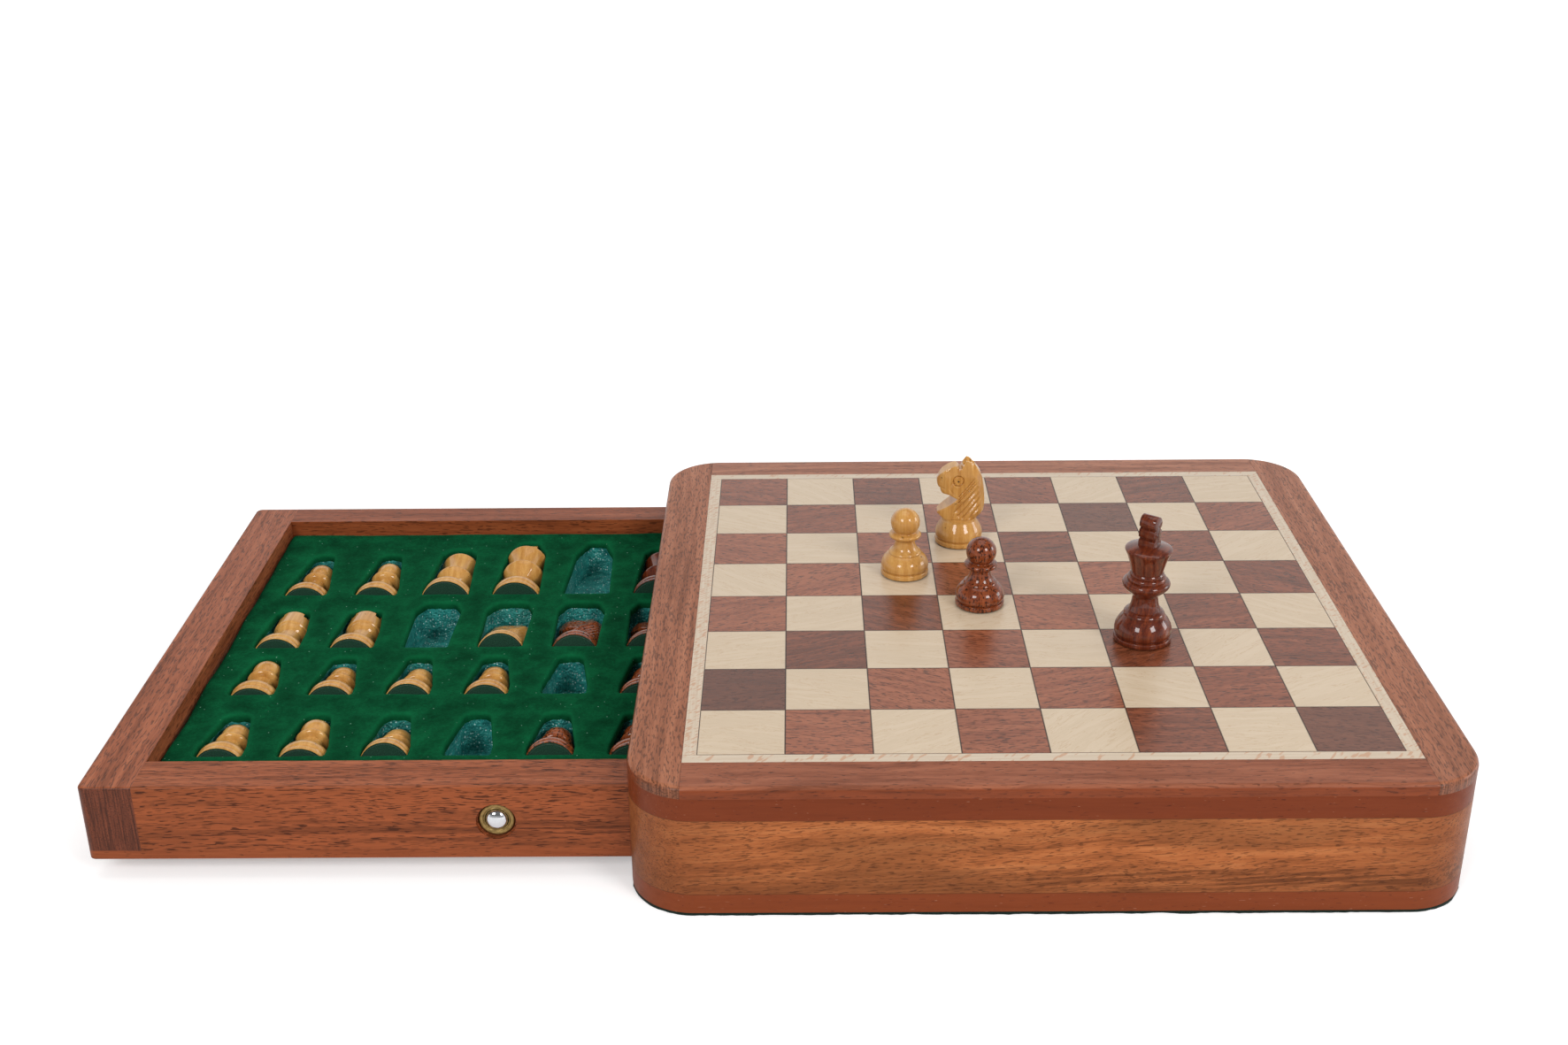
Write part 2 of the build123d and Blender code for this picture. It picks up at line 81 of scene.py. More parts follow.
camera_data = bpy.data.cameras.new("camera")
camera_data.lens = 42.36
camera_data.sensor_width = 36.0
camera_data.clip_start = 0.02
camera_data.clip_end = 30.0
camera = linked("camera", camera_data)
camera.location = (-0.0748, -0.5807, 0.3346)
camera.rotation_euler = [math.radians(angle) for angle in (65.746, 0.541, 0.273)]
bpy.context.scene.camera = camera
bpy.context.scene.view_settings.view_transform = "Standard"


# Nodes of a material, made and linked in one call each


class Shader:
    def __init__(self, owner, main="Principled BSDF"):
        self.owner = owner
        self.owner.use_nodes = True
        self.tree = self.owner.node_tree
        self.surface = self.tree.nodes[main]
        coordinates = self.add("TexCoord").outputs
        self.place = self.vector("MULTIPLY", coordinates["Object"], (PER_METRE, PER_METRE, PER_METRE))
        self.direction = coordinates["Generated"]

    def feed(self, socket, value):
        if isinstance(value, bpy.types.NodeSocket):
            self.tree.links.new(value, socket)
        else:
            socket.default_value = value

    def add(self, kind, inputs=(), **settings):
        node = self.tree.nodes.new("ShaderNode" + kind)
        for key, value in settings.items():
            setattr(node, key, value)
        for key, value in dict(inputs).items():
            self.feed(node.inputs[key], value)
        return node

    def math(self, operation, a, b=0.0):
        return self.add("Math", {0: a, 1: b}, operation=operation).outputs[0]

    plus = partialmethod(math, "ADD")
    minus = partialmethod(math, "SUBTRACT")
    times = partialmethod(math, "MULTIPLY")
    larger = partialmethod(math, "MAXIMUM")
    size = partialmethod(math, "ABSOLUTE")

    def gap(self, a, b):
        return self.size(self.minus(a, b))

    def blend(self, a, b, share):
        """A share of a and the rest of b."""
        return self.plus(self.times(a, share), self.times(b, 1 - share))

    def vector(self, operation, a, b=(0.0, 0.0, 0.0)):
        return self.add("VectorMath", {0: a, 1: b}, operation=operation).outputs[0]

    def length(self, vector):
        return self.add("VectorMath", {0: vector}, operation="LENGTH").outputs["Value"]

    def join(self, x, y, z):
        return self.add("CombineXYZ", {0: x, 1: y, 2: z}).outputs[0]

    def split(self, vector):
        return self.add("SeparateXYZ", {0: vector}).outputs

    def mix(self, factor, a, b, strength=None):
        """Colour a with colour b over it, as much as factor and strength say."""
        node = self.add("Mix", data_type="RGBA")
        if strength is not None:
            factor = self.times(factor, strength)
        for index, value in ((0, factor), (6, a), (7, b)):
            if isinstance(value, tuple):
                value = (*value, 1.0)
            self.feed(node.inputs[index], value)
        return node.outputs[2]

    def noise(self, vector, scale=1.0, detail=2.0, roughness=0.5):
        inputs = {"Vector": vector, "Scale": scale, "Detail": detail, "Roughness": roughness}
        return self.add("TexNoise", inputs).outputs["Fac"]

    def stretched(self, place, sizes, **settings):
        """Noise with a size of its own along each of the three coordinates."""
        if isinstance(place, tuple):
            place = self.join(*place)
        return self.noise(self.vector("DIVIDE", place, sizes), **settings)

    def cells(self, density):
        """Scattered cells: the distance from the nearest one's middle, and its three chances."""
        found = self.add("TexVoronoi", {"Vector": self.place, "Scale": density}, feature="F1").outputs
        return found["Distance"], self.split(found["Color"])

    def step(self, value, low, high, to_low=0.0, to_high=1.0):
        """A smooth step of value from low to high."""
        inputs = {"Value": value, "From Min": low, "From Max": high, "To Min": to_low, "To Max": to_high}
        return self.add("MapRange", inputs, interpolation_type="SMOOTHSTEP").outputs["Result"]

    def ramp(self, value, places, colours):
        """Colours along a value, each at its place."""
        node = self.add("ValToRGB", {0: value})
        ramp = node.color_ramp
        while len(ramp.elements) < len(places):
            ramp.elements.new(0.5)
        for element, place, colour in zip(ramp.elements, places, colours):
            element.position = place
            element.color = (*colour, 1.0)
        return node.outputs["Color"]

    def bump(self, height, strength, distance):
        normal = self.add("Bump", {"Strength": strength, "Distance": distance, "Height": height}).outputs[0]
        self.feed(self.surface.inputs["Normal"], normal)

    def finish(self, **inputs):
        """Sets the main shader's inputs, given with underscores for spaces, and returns the material."""
        for key, value in inputs.items():
            if isinstance(value, tuple) and len(value) == 3:
                value = (*value, 1.0)
            self.feed(self.surface.inputs[key.replace("_", " ")], value)
        return self.owner


def new_material(name):
    return Shader(bpy.data.materials.new(name))


def shade(colour, factor):
    return tuple(channel * factor for channel in colour)


def shades(colour, *factors):
    return [shade(colour, factor) for factor in factors]


# Woods. The sizes of their layers, in the order of the coordinates that each one follows

FIBRE_SIZE = (9.0, 0.5, 0.5)
STREAK_SIZE = (45.0, 1.3, 1.3)
SCRATCH_SIZE = (1.8, 0.3, 0.3)
CLOUD_SIZE = (75.0, 16.0, 1.0)
END_HATCH_SIZE = (0.55, 13.0, 9.0)

CLOUD_TONE = (0.19, 0.062, 0.018)
# Painted shade on the walls' rounded corners, mixed with the darker tone of their end grain
CORNER_PAINTED_SHADE_TONE = (0.185, 0.052, 0.016)
LOW_TONE = (0.175, 0.052, 0.016)
SCRATCH_TONE = (0.42, 0.22, 0.14)


def wood_layers(s, place, wave, bands, pores):
    """The layers that all the woods share, from millimetres along, across and into the grain.

    wave is how far the grain bends and over what length. bands is the length and width of its figure, and
    pores their length, width and amount. Returns the figure, the fibres and the pores, each from 0 to 1.
    """
    along, across, depth = place
    bend, reach = wave
    slow = s.stretched((along, across, depth), (reach, 0.4 * reach, 0.4 * reach))
    shift = s.times(s.minus(slow, 0.5), bend)
    bent = (along, s.plus(across, shift), s.plus(depth, shift))
    band_length, band_width = bands
    figure = s.stretched(bent, (band_length, band_width, band_width), detail=4.0, roughness=0.62)
    fibres = s.stretched(bent, FIBRE_SIZE, detail=3.0, roughness=0.65)
    pore_length, pore_width, amount = pores
    speck = s.stretched(bent, (pore_length, pore_width, pore_width), detail=1.0, roughness=0.4)
    return figure, fibres, s.step(speck, 0.66 - amount, 0.71 - amount)


def wood(name, tones, axis, edge_tone=None, end_tone=None, wave=(5.0, 60.0), bands=(70.0, 3.0),
         pores=(3.4, 0.5, 0.06), pore_depth=0.6, roughness=0.36, specular=0.22, offset=(0.0, 0.0, 0.0),
         band_range=(0.34, 0.66), slant=0.0, streaks=None, seams=(), scratches=False, shaded=False):
    """A finished wood. tones are its dark, middle and light colour, and axis is the grain's direction.

    edge_tone colours the upright faces and end_tone the faces across the grain. streaks is the height and
    reach of dark streaks, and where along x they gather. seams are the heights of thin dark joint lines.
    shaded woods darken in wide soft patches, low down, and towards the rounded corners, where the darkening
    is painted shade mixed with their end grain's darker tone.
    """
    s = new_material(name)
    x, y, z = s.split(s.vector("ADD", s.place, offset))
    along, across, depth = (x, y, z) if axis == 0 else (y, x, z)
    if slant:
        depth = s.plus(depth, s.times(along, slant))
    figure, fibres, holes = wood_layers(s, (along, across, depth), wave, bands, pores)
    grain = s.blend(figure, fibres, 0.68)
    colour = s.ramp(grain, (band_range[0], 0.5, band_range[1]), tones)
    normal = s.split(s.add("NewGeometry").outputs["Normal"])
    own = s.split(s.place)
    if shaded:
        # Darker in wide soft patches, low down, and towards the rounded corners, where it is painted shade
        # mixed with end grain tone
        clouds = s.stretched((along, depth, 4.0), CLOUD_SIZE, detail=1.0)
        for value, start, end, amount, tone in ((clouds, 0.5, 0.66, 0.55, CLOUD_TONE),
                                                (s.size(own[0]), 72.0, 122.0, 0.6, CORNER_PAINTED_SHADE_TONE),
                                                (own[2], 19.0, 8.0, 0.42, LOW_TONE)):
            colour = s.mix(s.step(value, start, end, 0.0, amount), colour, tone)
    if edge_tone:
        upright = s.step(s.size(normal[2]), 0.75, 0.35)
        edge = s.ramp(grain, (0.3, 0.48, 0.7), shades(edge_tone, 0.55, 1.0, 1.3))
        colour = s.mix(upright, colour, edge)
    if streaks:
        height, reach, start, end = streaks
        near = s.times(s.step(s.gap(own[2], height), reach, 0.0), s.step(own[0], start, end, 0.35, 1.0))
        streak = s.stretched((along, across, depth), STREAK_SIZE, detail=3.0, roughness=0.55)
        colour = s.mix(s.times(s.step(streak, 0.44, 0.58), near), colour, shade(tones[0], 0.5), 0.8)
    if end_tone:
        ends = s.step(s.size(normal[axis]), 0.45, 0.75)
        hatch = s.stretched((across, depth, along), END_HATCH_SIZE, detail=4.0, roughness=0.65)
        colour = s.mix(ends, colour, s.ramp(hatch, (0.34, 0.5, 0.66), shades(end_tone, 0.4, 1.0, 1.6)))
    colour = s.mix(holes, colour, shade(tones[0], 0.3), pore_depth)
    for seam in seams:
        colour = s.mix(s.step(s.gap(own[2], seam), 0.34, 0.1), colour, shade(tones[0], 0.3), 0.7)
    if scratches:
        scratch = s.stretched((along, across, depth), SCRATCH_SIZE, detail=0.0)
        colour = s.mix(s.step(scratch, 0.8, 0.86, 0.0, 0.5), colour, SCRATCH_TONE)
    s.bump(s.minus(s.times(fibres, 0.35), holes), 0.3, 0.00014)
    rough = s.step(grain, 0.3, 0.7, roughness + 0.06, roughness - 0.04)
    return s.finish(Base_Color=colour, Roughness=rough, Specular_IOR_Level=specular)


MAHOGANY = ((0.155, 0.042, 0.017), (0.272, 0.084, 0.04), (0.36, 0.122, 0.06))
STILE = ((0.185, 0.058, 0.024), (0.325, 0.113, 0.054), (0.43, 0.165, 0.082))
DRAWER_WOOD = ((0.12, 0.028, 0.008), (0.248, 0.06, 0.019), (0.34, 0.092, 0.031))
DRAWER_END_WOOD = ((0.15, 0.038, 0.012), (0.31, 0.086, 0.034), (0.41, 0.126, 0.052))
DRAWER_FACE = (0.268, 0.068, 0.022)
EDGE = (0.198, 0.042, 0.012)
BAND = ((0.125, 0.024, 0.006), (0.168, 0.032, 0.008), (0.2, 0.041, 0.011))
BASE_BAND = ((0.16, 0.034, 0.009), (0.205, 0.044, 0.012), (0.24, 0.055, 0.016))
FIGURED = ((0.21, 0.06, 0.016), (0.39, 0.118, 0.034), (0.5, 0.18, 0.06))
STILE_END = (0.19, 0.066, 0.032)
DRAWER_END = (0.112, 0.028, 0.012)

# What the woods of one kind share
PLAIN_BAND = {"pores": (3.0, 0.4, -0.03), "roughness": 0.34, "specular": 0.15, "band_range": (0.2, 0.8),
              "scratches": True}
WALL = {"wave": (7.0, 45.0), "bands": (48.0, 3.4), "pores": (2.9, 0.36, 0.085), "specular": 0.15,
        "band_range": (0.36, 0.68), "seams": (33.5, 7.5), "shaded": True}
DRAWER_ENDS = {"wave": (4.0, 60.0), "pores": (3.6, 0.5, 0.1)}

material_of = {
    "frame_rail_front": wood(
        "frame_wood_front", MAHOGANY, 0, EDGE, wave=(9.0, 60.0), slant=-0.02, pores=(3.0, 0.45, 0.03),
        offset=(40.0, 11.0, 3.0)),
    "frame_rail_back": wood(
        "frame_wood_back", STILE, 0, EDGE, pores=(3.0, 0.5, 0.06), specular=0.4, offset=(-300.0, 60.0, 30.0)),
    "frame_stile_left": wood(
        "frame_wood_left", STILE, 1, EDGE, STILE_END, wave=(3.0, 60.0), pores=(2.8, 0.5, 0.11),
        offset=(90.0, 7.0, 50.0)),
    "frame_stile_right": wood(
        "frame_wood_right", STILE, 1, EDGE, STILE_END, wave=(3.0, 60.0), pores=(2.8, 0.5, 0.1), specular=0.32,
        offset=(-50.0, 210.0, 20.0)),
    "board_subpanel": wood("band_wood", BAND, 0, **PLAIN_BAND),
    "base_panel": wood("base_wood", BASE_BAND, 0, offset=(77.0, 5.0, 0.0), **PLAIN_BAND),
    "casing_front_wall": wood(
        "wall_wood_front", FIGURED, 0, slant=-0.06, streaks=(12.0, 8.0, -110.0, 60.0), **WALL),
    "casing_back_wall": wood(
        "wall_wood_back", FIGURED, 0, slant=0.04, streaks=(14.0, 8.0, 110.0, -60.0),
        offset=(500.0, 0.0, 90.0), **WALL),
    "drawer_side_front": wood(
        "drawer_wood_front", DRAWER_END_WOOD, 0, DRAWER_FACE, wave=(6.0, 60.0), bands=(80.0, 2.8),
        pores=(4.6, 0.32, 0.085), pore_depth=0.85, specular=0.15, offset=(10.0, 0.0, 400.0),
        streaks=(17.0, 10.0, -320.0, -60.0)),
    "drawer_side_back": wood(
        "drawer_wood_back", DRAWER_WOOD, 0, pores=(3.8, 0.5, 0.07), offset=(130.0, 3.0, 60.0)),
    "drawer_end_left": wood(
        "drawer_wood_left", DRAWER_END_WOOD, 1, None, DRAWER_END, offset=(20.0, 400.0, 9.0), **DRAWER_ENDS),
    "drawer_end_right": wood(
        "drawer_wood_right", DRAWER_END_WOOD, 1, None, DRAWER_END, offset=(-220.0, 90.0, 9.0), **DRAWER_ENDS),
    "drawer_bottom": wood(
        "drawer_base_wood", DRAWER_WOOD, 0, pores=(3.0, 0.4, 0.0), roughness=0.42, specular=0.15,
        band_range=(0.2, 0.8)),
}


# The board's squares and inlay: each square is a piece of its own, with its own grain

SQUARE = 26.5
FIELD_HALF = 4 * SQUARE
JOINT_TONE = (0.045, 0.02, 0.014)
DARK_STOCK_TONE = (0.07, 0.03, 0.02)

# The squares cut from darker stock, counted from the front left one
DARK_STOCK = ((7, 0), (5, 6), (0, 1))


def square_wood(name, tones, turn, tone_spread, wave, pores, pore_depth, line_tone=None):
    s = new_material(name)
    cell_x, cell_y = [s.math("DIVIDE", s.plus(value, FIELD_HALF), SQUARE) for value in s.split(s.place)[:2]]
    cell = s.join(s.math("FLOOR", cell_x), s.math("FLOOR", cell_y), 0.0)
    dice = s.add("TexWhiteNoise", {"Vector": cell}).outputs["Color"]
    chance = s.split(dice)
    centre = s.vector("SUBTRACT", s.place, s.vector("MULTIPLY", cell, (SQUARE, SQUARE, 0.0)))
    angle = s.times(s.minus(chance[0], 0.5), turn)
    turned = s.add("VectorRotate", {"Vector": centre, "Angle": angle}, rotation_type="Z_AXIS").outputs[0]
    moved = s.split(s.vector("ADD", turned, s.vector("MULTIPLY", dice, (700.0, 300.0, 200.0))))
    figure, fibres, holes = wood_layers(s, moved, wave, (40.0, 2.8), pores)
    grain = s.blend(figure, fibres, 0.66)
    grain = s.plus(grain, s.times(s.minus(chance[1], 0.5), tone_spread))
    colour = s.ramp(grain, (0.32, 0.5, 0.68), tones)
    for stock in DARK_STOCK:
        chosen = s.step(s.length(s.vector("SUBTRACT", cell, (*stock, 0.0))), 0.3, 0.2)
        colour = s.mix(chosen, colour, DARK_STOCK_TONE, 0.62)
    if line_tone:
        colour = s.mix(s.step(s.gap(figure, 0.5), 0.012, 0.003), colour, line_tone, 0.35)
    colour = s.mix(holes, colour, shade(tones[0], 0.42), pore_depth)
    edge_x, edge_y = [s.gap(s.math("FRACT", value), 0.5) for value in (cell_x, cell_y)]
    colour = s.mix(s.step(s.larger(edge_x, edge_y), 0.486, 0.496), colour, JOINT_TONE, 0.8)
    s.bump(s.minus(s.times(fibres, 0.3), holes), 0.2, 0.00012)
    return s.finish(Base_Color=colour, Roughness=0.27, Specular_IOR_Level=0.5)


material_of["dark_squares"] = square_wood(
    "dark_square_wood", ((0.122, 0.033, 0.013), (0.228, 0.063, 0.027), (0.33, 0.105, 0.048)),
    1.0, 0.3, (7.0, 30.0), (2.8, 0.5, 0.09), 0.7)
material_of["light_squares"] = square_wood(
    "light_square_wood", ((0.565, 0.44, 0.305), (0.605, 0.478, 0.338), (0.635, 0.508, 0.368)),
    1.6, 0.1, (9.0, 34.0), (2.8, 0.5, -0.12), 0.25, (0.42, 0.24, 0.12))

MAPLE = ((0.55, 0.43, 0.31), (0.61, 0.5, 0.38), (0.65, 0.55, 0.43))
FLECK_TONE = (0.5, 0.235, 0.12)


def inlay_wood(name, axis, fleck, amount, offset):
    """Maple with its rays showing: orange flecks on the front strip, fine speckles on the others."""
    s = new_material(name)
    x, y = s.split(s.vector("ADD", s.place, offset))[:2]
    along, across = (x, y) if axis == 0 else (y, x)
    base = s.stretched((along, across, 0.0), (22.0, 0.8, 1.0), detail=3.0)
    lean = s.minus(along, s.times(across, 0.7))
    flecks = s.stretched((lean, across, 0.0), (fleck, 2.4 * fleck, 1.0), detail=1.0)
    flecks = s.step(flecks, 0.62 - amount, 0.7 - amount)
    colour = s.mix(flecks, s.ramp(base, (0.3, 0.55, 0.75), MAPLE), FLECK_TONE, 0.62)
    s.bump(base, 0.08, 0.0001)
    return s.finish(Base_Color=colour, Roughness=0.3, Specular_IOR_Level=0.4)


for side, axis, fleck, amount, offset in (("front", 0, 2.0, 0.05, (0.0, 0.0, 0.0)),
                                          ("back", 0, 1.4, 0.02, (90.0, 0.0, 0.0)),
                                          ("left", 1, 0.85, 0.09, (0.0, 30.0, 0.0)),
                                          ("right", 1, 0.95, 0.06, (0.0, 170.0, 0.0))):
    material_of["inlay_" + side] = inlay_wood("inlay_wood_" + side, axis, fleck, amount, offset)


# Metals


def metal(name, colour, roughness, mottling):
    s = new_material(name)
    stains = s.noise(s.place, scale=1.1, detail=3.0)
    tone = s.mix(s.step(stains, 0.35, 0.7, 0.0, mottling), colour, shade(colour, 0.45))
    s.bump(s.noise(s.place, scale=9.0), 0.08, 0.00004)
    rough = s.step(stains, 0.3, 0.7, roughness, roughness + 0.15)
    return s.finish(Base_Color=tone, Metallic=1.0, Roughness=rough)


BRASS = metal("dull_brass", (0.36, 0.24, 0.09), 0.36, 0.6)
CHROME = metal("chrome", (0.74, 0.75, 0.77), 0.05, 0.1)
material_of["catch_spring"] = metal("spring_steel", (0.4, 0.4, 0.42), 0.3, 0.2)
material_of["steel_sheet"] = metal("dull_steel", (0.16, 0.15, 0.14), 0.5, 0.3)

for node_name, material in material_of.items():
    node_materials = nodes[node_name].data.materials
    node_materials.clear()
    node_materials.append(material)


# Cloth and foam

PILE = ((0.0009, 0.026, 0.009), (0.0018, 0.051, 0.018), (0.003, 0.086, 0.03))
# Painted sheen: lighter green along the velvet's rolled edges round the slots
PILE_PAINTED_SHEEN = (0.007, 0.155, 0.055)
LINT = (0.22, 0.42, 0.32)
FOAM_TONES = ((0.01, 0.15, 0.14), (0.02, 0.25, 0.225), (0.04, 0.35, 0.31))
FOAM_PORE = (0.004, 0.06, 0.06)
# The foam's glitter, as painted glints: how densely they are scattered, the share left out and their colour
PAINTED_GLINTS = ((1.5, 0.45, (0.1, 0.44, 0.41)), (1.15, 0.66, (0.62, 0.86, 0.84)))


def velvet_material():
    s = new_material("green_velvet")
    nap = s.noise(s.place, scale=0.11, detail=3.0, roughness=0.6)
    tufts = s.noise(s.place, scale=0.9, detail=4.0, roughness=0.8)
    # The rim attribute: painted sheen on the rolled slot edges, and lighter green in a wider halo round them
    rim = s.add("Attribute", attribute_name="rim").outputs["Fac"]
    colour = s.ramp(s.blend(nap, tufts, 0.55), (0.36, 0.5, 0.64), PILE)
    colour = s.mix(rim, colour, PILE_PAINTED_SHEEN, 0.42)
    distance, chance = s.cells(0.55)
    lint = s.times(s.step(distance, 0.16, 0.07), s.math("GREATER_THAN", chance[0], 0.86))
    colour = s.mix(lint, colour, LINT, 0.6)
    s.bump(tufts, 0.6, 0.0003)
    return s.finish(Base_Color=colour, Roughness=0.95, Specular_IOR_Level=0.03, Sheen_Weight=0.08,
                    Sheen_Roughness=0.4, Sheen_Tint=(0.05, 0.8, 0.35))


def foam_material():
    s = new_material("glitter_foam")
    patches = s.noise(s.place, scale=0.3, detail=3.0)
    colour = s.ramp(patches, (0.3, 0.5, 0.7), FOAM_TONES)
    # Glitter sparkles painted into the colour as pale specks, standing in for glints of light
    for density, left_out, painted_glint in PAINTED_GLINTS:
        distance, chance = s.cells(density)
        painted_glint_mask = s.times(s.step(chance[0], left_out, left_out + 0.1), s.step(distance, 0.4, 0.22))
        colour = s.mix(painted_glint_mask, colour, painted_glint, 0.9)
        dull = s.times(s.step(chance[1], 0.6, 0.8), s.step(distance, 0.5, 0.25))
        colour = s.mix(dull, colour, FOAM_PORE, 0.5)
    s.bump(s.plus(s.times(distance, 0.8), patches), 0.9, 0.0006)
    return s.finish(Base_Color=colour, Roughness=0.4, Specular_IOR_Level=0.6)


def felt_material(name, colour):
    s = new_material(name)
    fuzz = s.noise(s.place, scale=2.6, detail=4.0, roughness=0.7)
    s.bump(fuzz, 0.7, 0.0003)
    return s.finish(Base_Color=s.ramp(fuzz, (0.3, 0.5, 0.72), shades(colour, 0.5, 1.0, 1.8)), Roughness=0.95,
                    Specular_IOR_Level=0.1, Sheen_Weight=0.15, Sheen_Roughness=0.5)


VELVET = velvet_material()
FOAM = foam_material()
BASE_FELT = felt_material("base_felt_cloth", (0.006, 0.016, 0.011))
FOOT_FELT = felt_material("foot_felt", (0.01, 0.042, 0.024))


# Woods of the men


def turned_wood(name, tones, rings, specks, speck_size, speck_range, coat_roughness):
    """A lacquered wood of the men, with its grain along their height and dark specks."""
    s = new_material(name)
    chance = s.add("ObjectInfo").outputs["Random"]
    place = s.vector("ADD", s.place, s.join(s.times(chance, 400.0), chance, 0.0))
    wide = s.stretched(place, rings, detail=3.0, roughness=0.58)
    fibres = s.stretched(place, (0.4, 0.4, 6.0))
    tone = s.plus(s.blend(wide, fibres, 0.7), s.times(s.minus(chance, 0.5), 0.12))
    speck = s.step(s.stretched(place, speck_size, detail=1.0), *speck_range)
    colour = s.mix(speck, s.ramp(tone, (0.3, 0.5, 0.7), tones), shade(tones[0], 0.15), specks)
    s.bump(s.minus(s.times(wide, 0.5), s.times(speck, specks)), 0.12, 0.0002)
    return s.finish(Base_Color=colour, Roughness=0.34, Specular_IOR_Level=0.1, Coat_Weight=0.85,
                    Coat_Roughness=coat_roughness, Coat_IOR=1.45)


BOXWOOD = turned_wood(
    "boxwood_lacquered", ((0.42, 0.18, 0.036), (0.54, 0.265, 0.066), (0.64, 0.36, 0.11)),
    (1.5, 6.0, 22.0), 0.6, (1.8, 1.8, 1.8), (0.745, 0.78), 0.06)
SPECKLED = turned_wood(
    "rosewood_speckled", ((0.135, 0.026, 0.007), (0.235, 0.052, 0.014), (0.34, 0.086, 0.024)),
    (1.1, 3.0, 16.0), 0.92, (0.62, 0.62, 1.15), (0.56, 0.63), 0.035)
DEEP_RED = turned_wood(
    "rosewood_deep", ((0.045, 0.007, 0.004), (0.115, 0.02, 0.007), (0.225, 0.046, 0.013)),
    (0.9, 3.4, 14.0), 0.7, (0.4, 0.4, 1.8), (0.62, 0.72), 0.035)


# The knight's carved pupil, coloured dark as painted shade in its hollow
def pupil_shade_material():
    s = new_material("carved_pupil_painted_shade")
    fine = s.noise(s.place, scale=4.0, detail=1.0)
    colour = s.ramp(fine, (0.3, 0.7), ((0.05, 0.018, 0.008), (0.12, 0.05, 0.02)))
    return s.finish(Base_Color=colour, Roughness=0.5)


PUPIL_SHADE = pupil_shade_material()


# Mesh helpers


def curve_through(points, steps):
    """A smooth run through the points, which are kept."""
    if len(points) == 2:
        return list(points)
    spots = [Vector(point) for point in points]
    spots = [2 * spots[0] - spots[1], *spots, 2 * spots[-1] - spots[-2]]
    line = []
    for a, b, c, d in zip(spots, spots[1:], spots[2:], spots[3:]):
        for index in range(steps):
            t = index / steps
            place = 0.5 * (2 * b + (c - a) * t + (2 * a - 5 * b + 4 * c - d) * t ** 2
                           + (3 * b - a - 3 * c + d) * t ** 3)
            line.append(tuple(place))
    return line + [points[-1]]


def joined(runs, steps=4):
    """Curved runs as one line, each from the last point of the run before it."""
    line = []
    for run in runs:
        start = line[-1:]
        line += curve_through(start + run, steps)[len(start):]
    return line


def mesh_object(name, points, faces, materials, face_materials=None, sharp=38.0):
    mesh = bpy.data.meshes.new(name)
    mesh.from_pydata([tuple(MM * value for value in point) for point in points], [], faces)
    for material in materials:
        mesh.materials.append(material)
    if face_materials:
        mesh.polygons.foreach_set("material_index", face_materials)
    mesh.polygons.foreach_set("use_smooth", [True] * len(mesh.polygons))
    mesh.update()
    mesh.set_sharp_from_angle(angle=math.radians(sharp))
    return linked(name, mesh)


def stand_in(made, node_name, body):
    """Puts a piece in the place of a CAD node, which it hides, and on its body."""
    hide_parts(node_name)
    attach(made, body)


def add_to(points, faces, more_points, more_faces):
    start = len(points)
    points.extend(more_points)
    faces.extend([tuple(start + index for index in face) for face in more_faces])


def add_ring(points, spots):
    """Adds points and returns their numbers."""
    start = len(points)
    points.extend(spots)
    return list(range(start, len(points)))


def ring_pairs(start, count):
    """The numbers of the points that follow each other in a closed ring."""
    return [(start + i, start + (i + 1) % count) for i in range(count)]


def wall_between(faces, upper, lower):
    """Quads between two closed rings of the same length."""
    for i, k in ring_pairs(0, len(upper)):
        faces.append((upper[i], lower[i], lower[k], upper[k]))


def ring_quads(rings, count):
    """Quads between rings of count points that are stored one after the other."""
    return [(a, b, b + count, a + count)
            for ring in range(rings - 1) for a, b in ring_pairs(ring * count, count)]


def sides(outline):
    """Each point of a closed outline with the next one."""
    return zip(outline, outline[1:] + outline[:1])


def inside(px, py, outline):
    """Which of many points are inside a closed outline."""
    crossings = np.zeros(len(px), bool)
    for (ax, ay), (bx, by) in sides(outline):
        if ay != by:
            crossings ^= ((ay > py) != (by > py)) & (px < (bx - ax) * (py - ay) / (by - ay) + ax)
    return crossings


def outside_all(px, py, outlines):
    """Which of many points are in none of the outlines."""
    return ~np.any([inside(px, py, outline) for outline in outlines], axis=0)


def segment_distance(px, pz, start, end):
    """The distance of many points from a segment, and how far along it their nearest places are."""
    (ax, az), (bx, bz) = start, end
    share = ((px - ax) * (bx - ax) + (pz - az) * (bz - az)) / ((bx - ax) ** 2 + (bz - az) ** 2)
    share = np.clip(share, 0.0, 1.0)
    return np.hypot(px - ax - share * (bx - ax), pz - az - share * (bz - az)), share


def outline_distance(px, pz, outline):
    """The distance of many points from a closed outline."""
    best = np.full(len(px), 1e9)
    for start, end in sides(outline):
        if start != end:
            best = np.minimum(best, segment_distance(px, pz, start, end)[0])
    return best


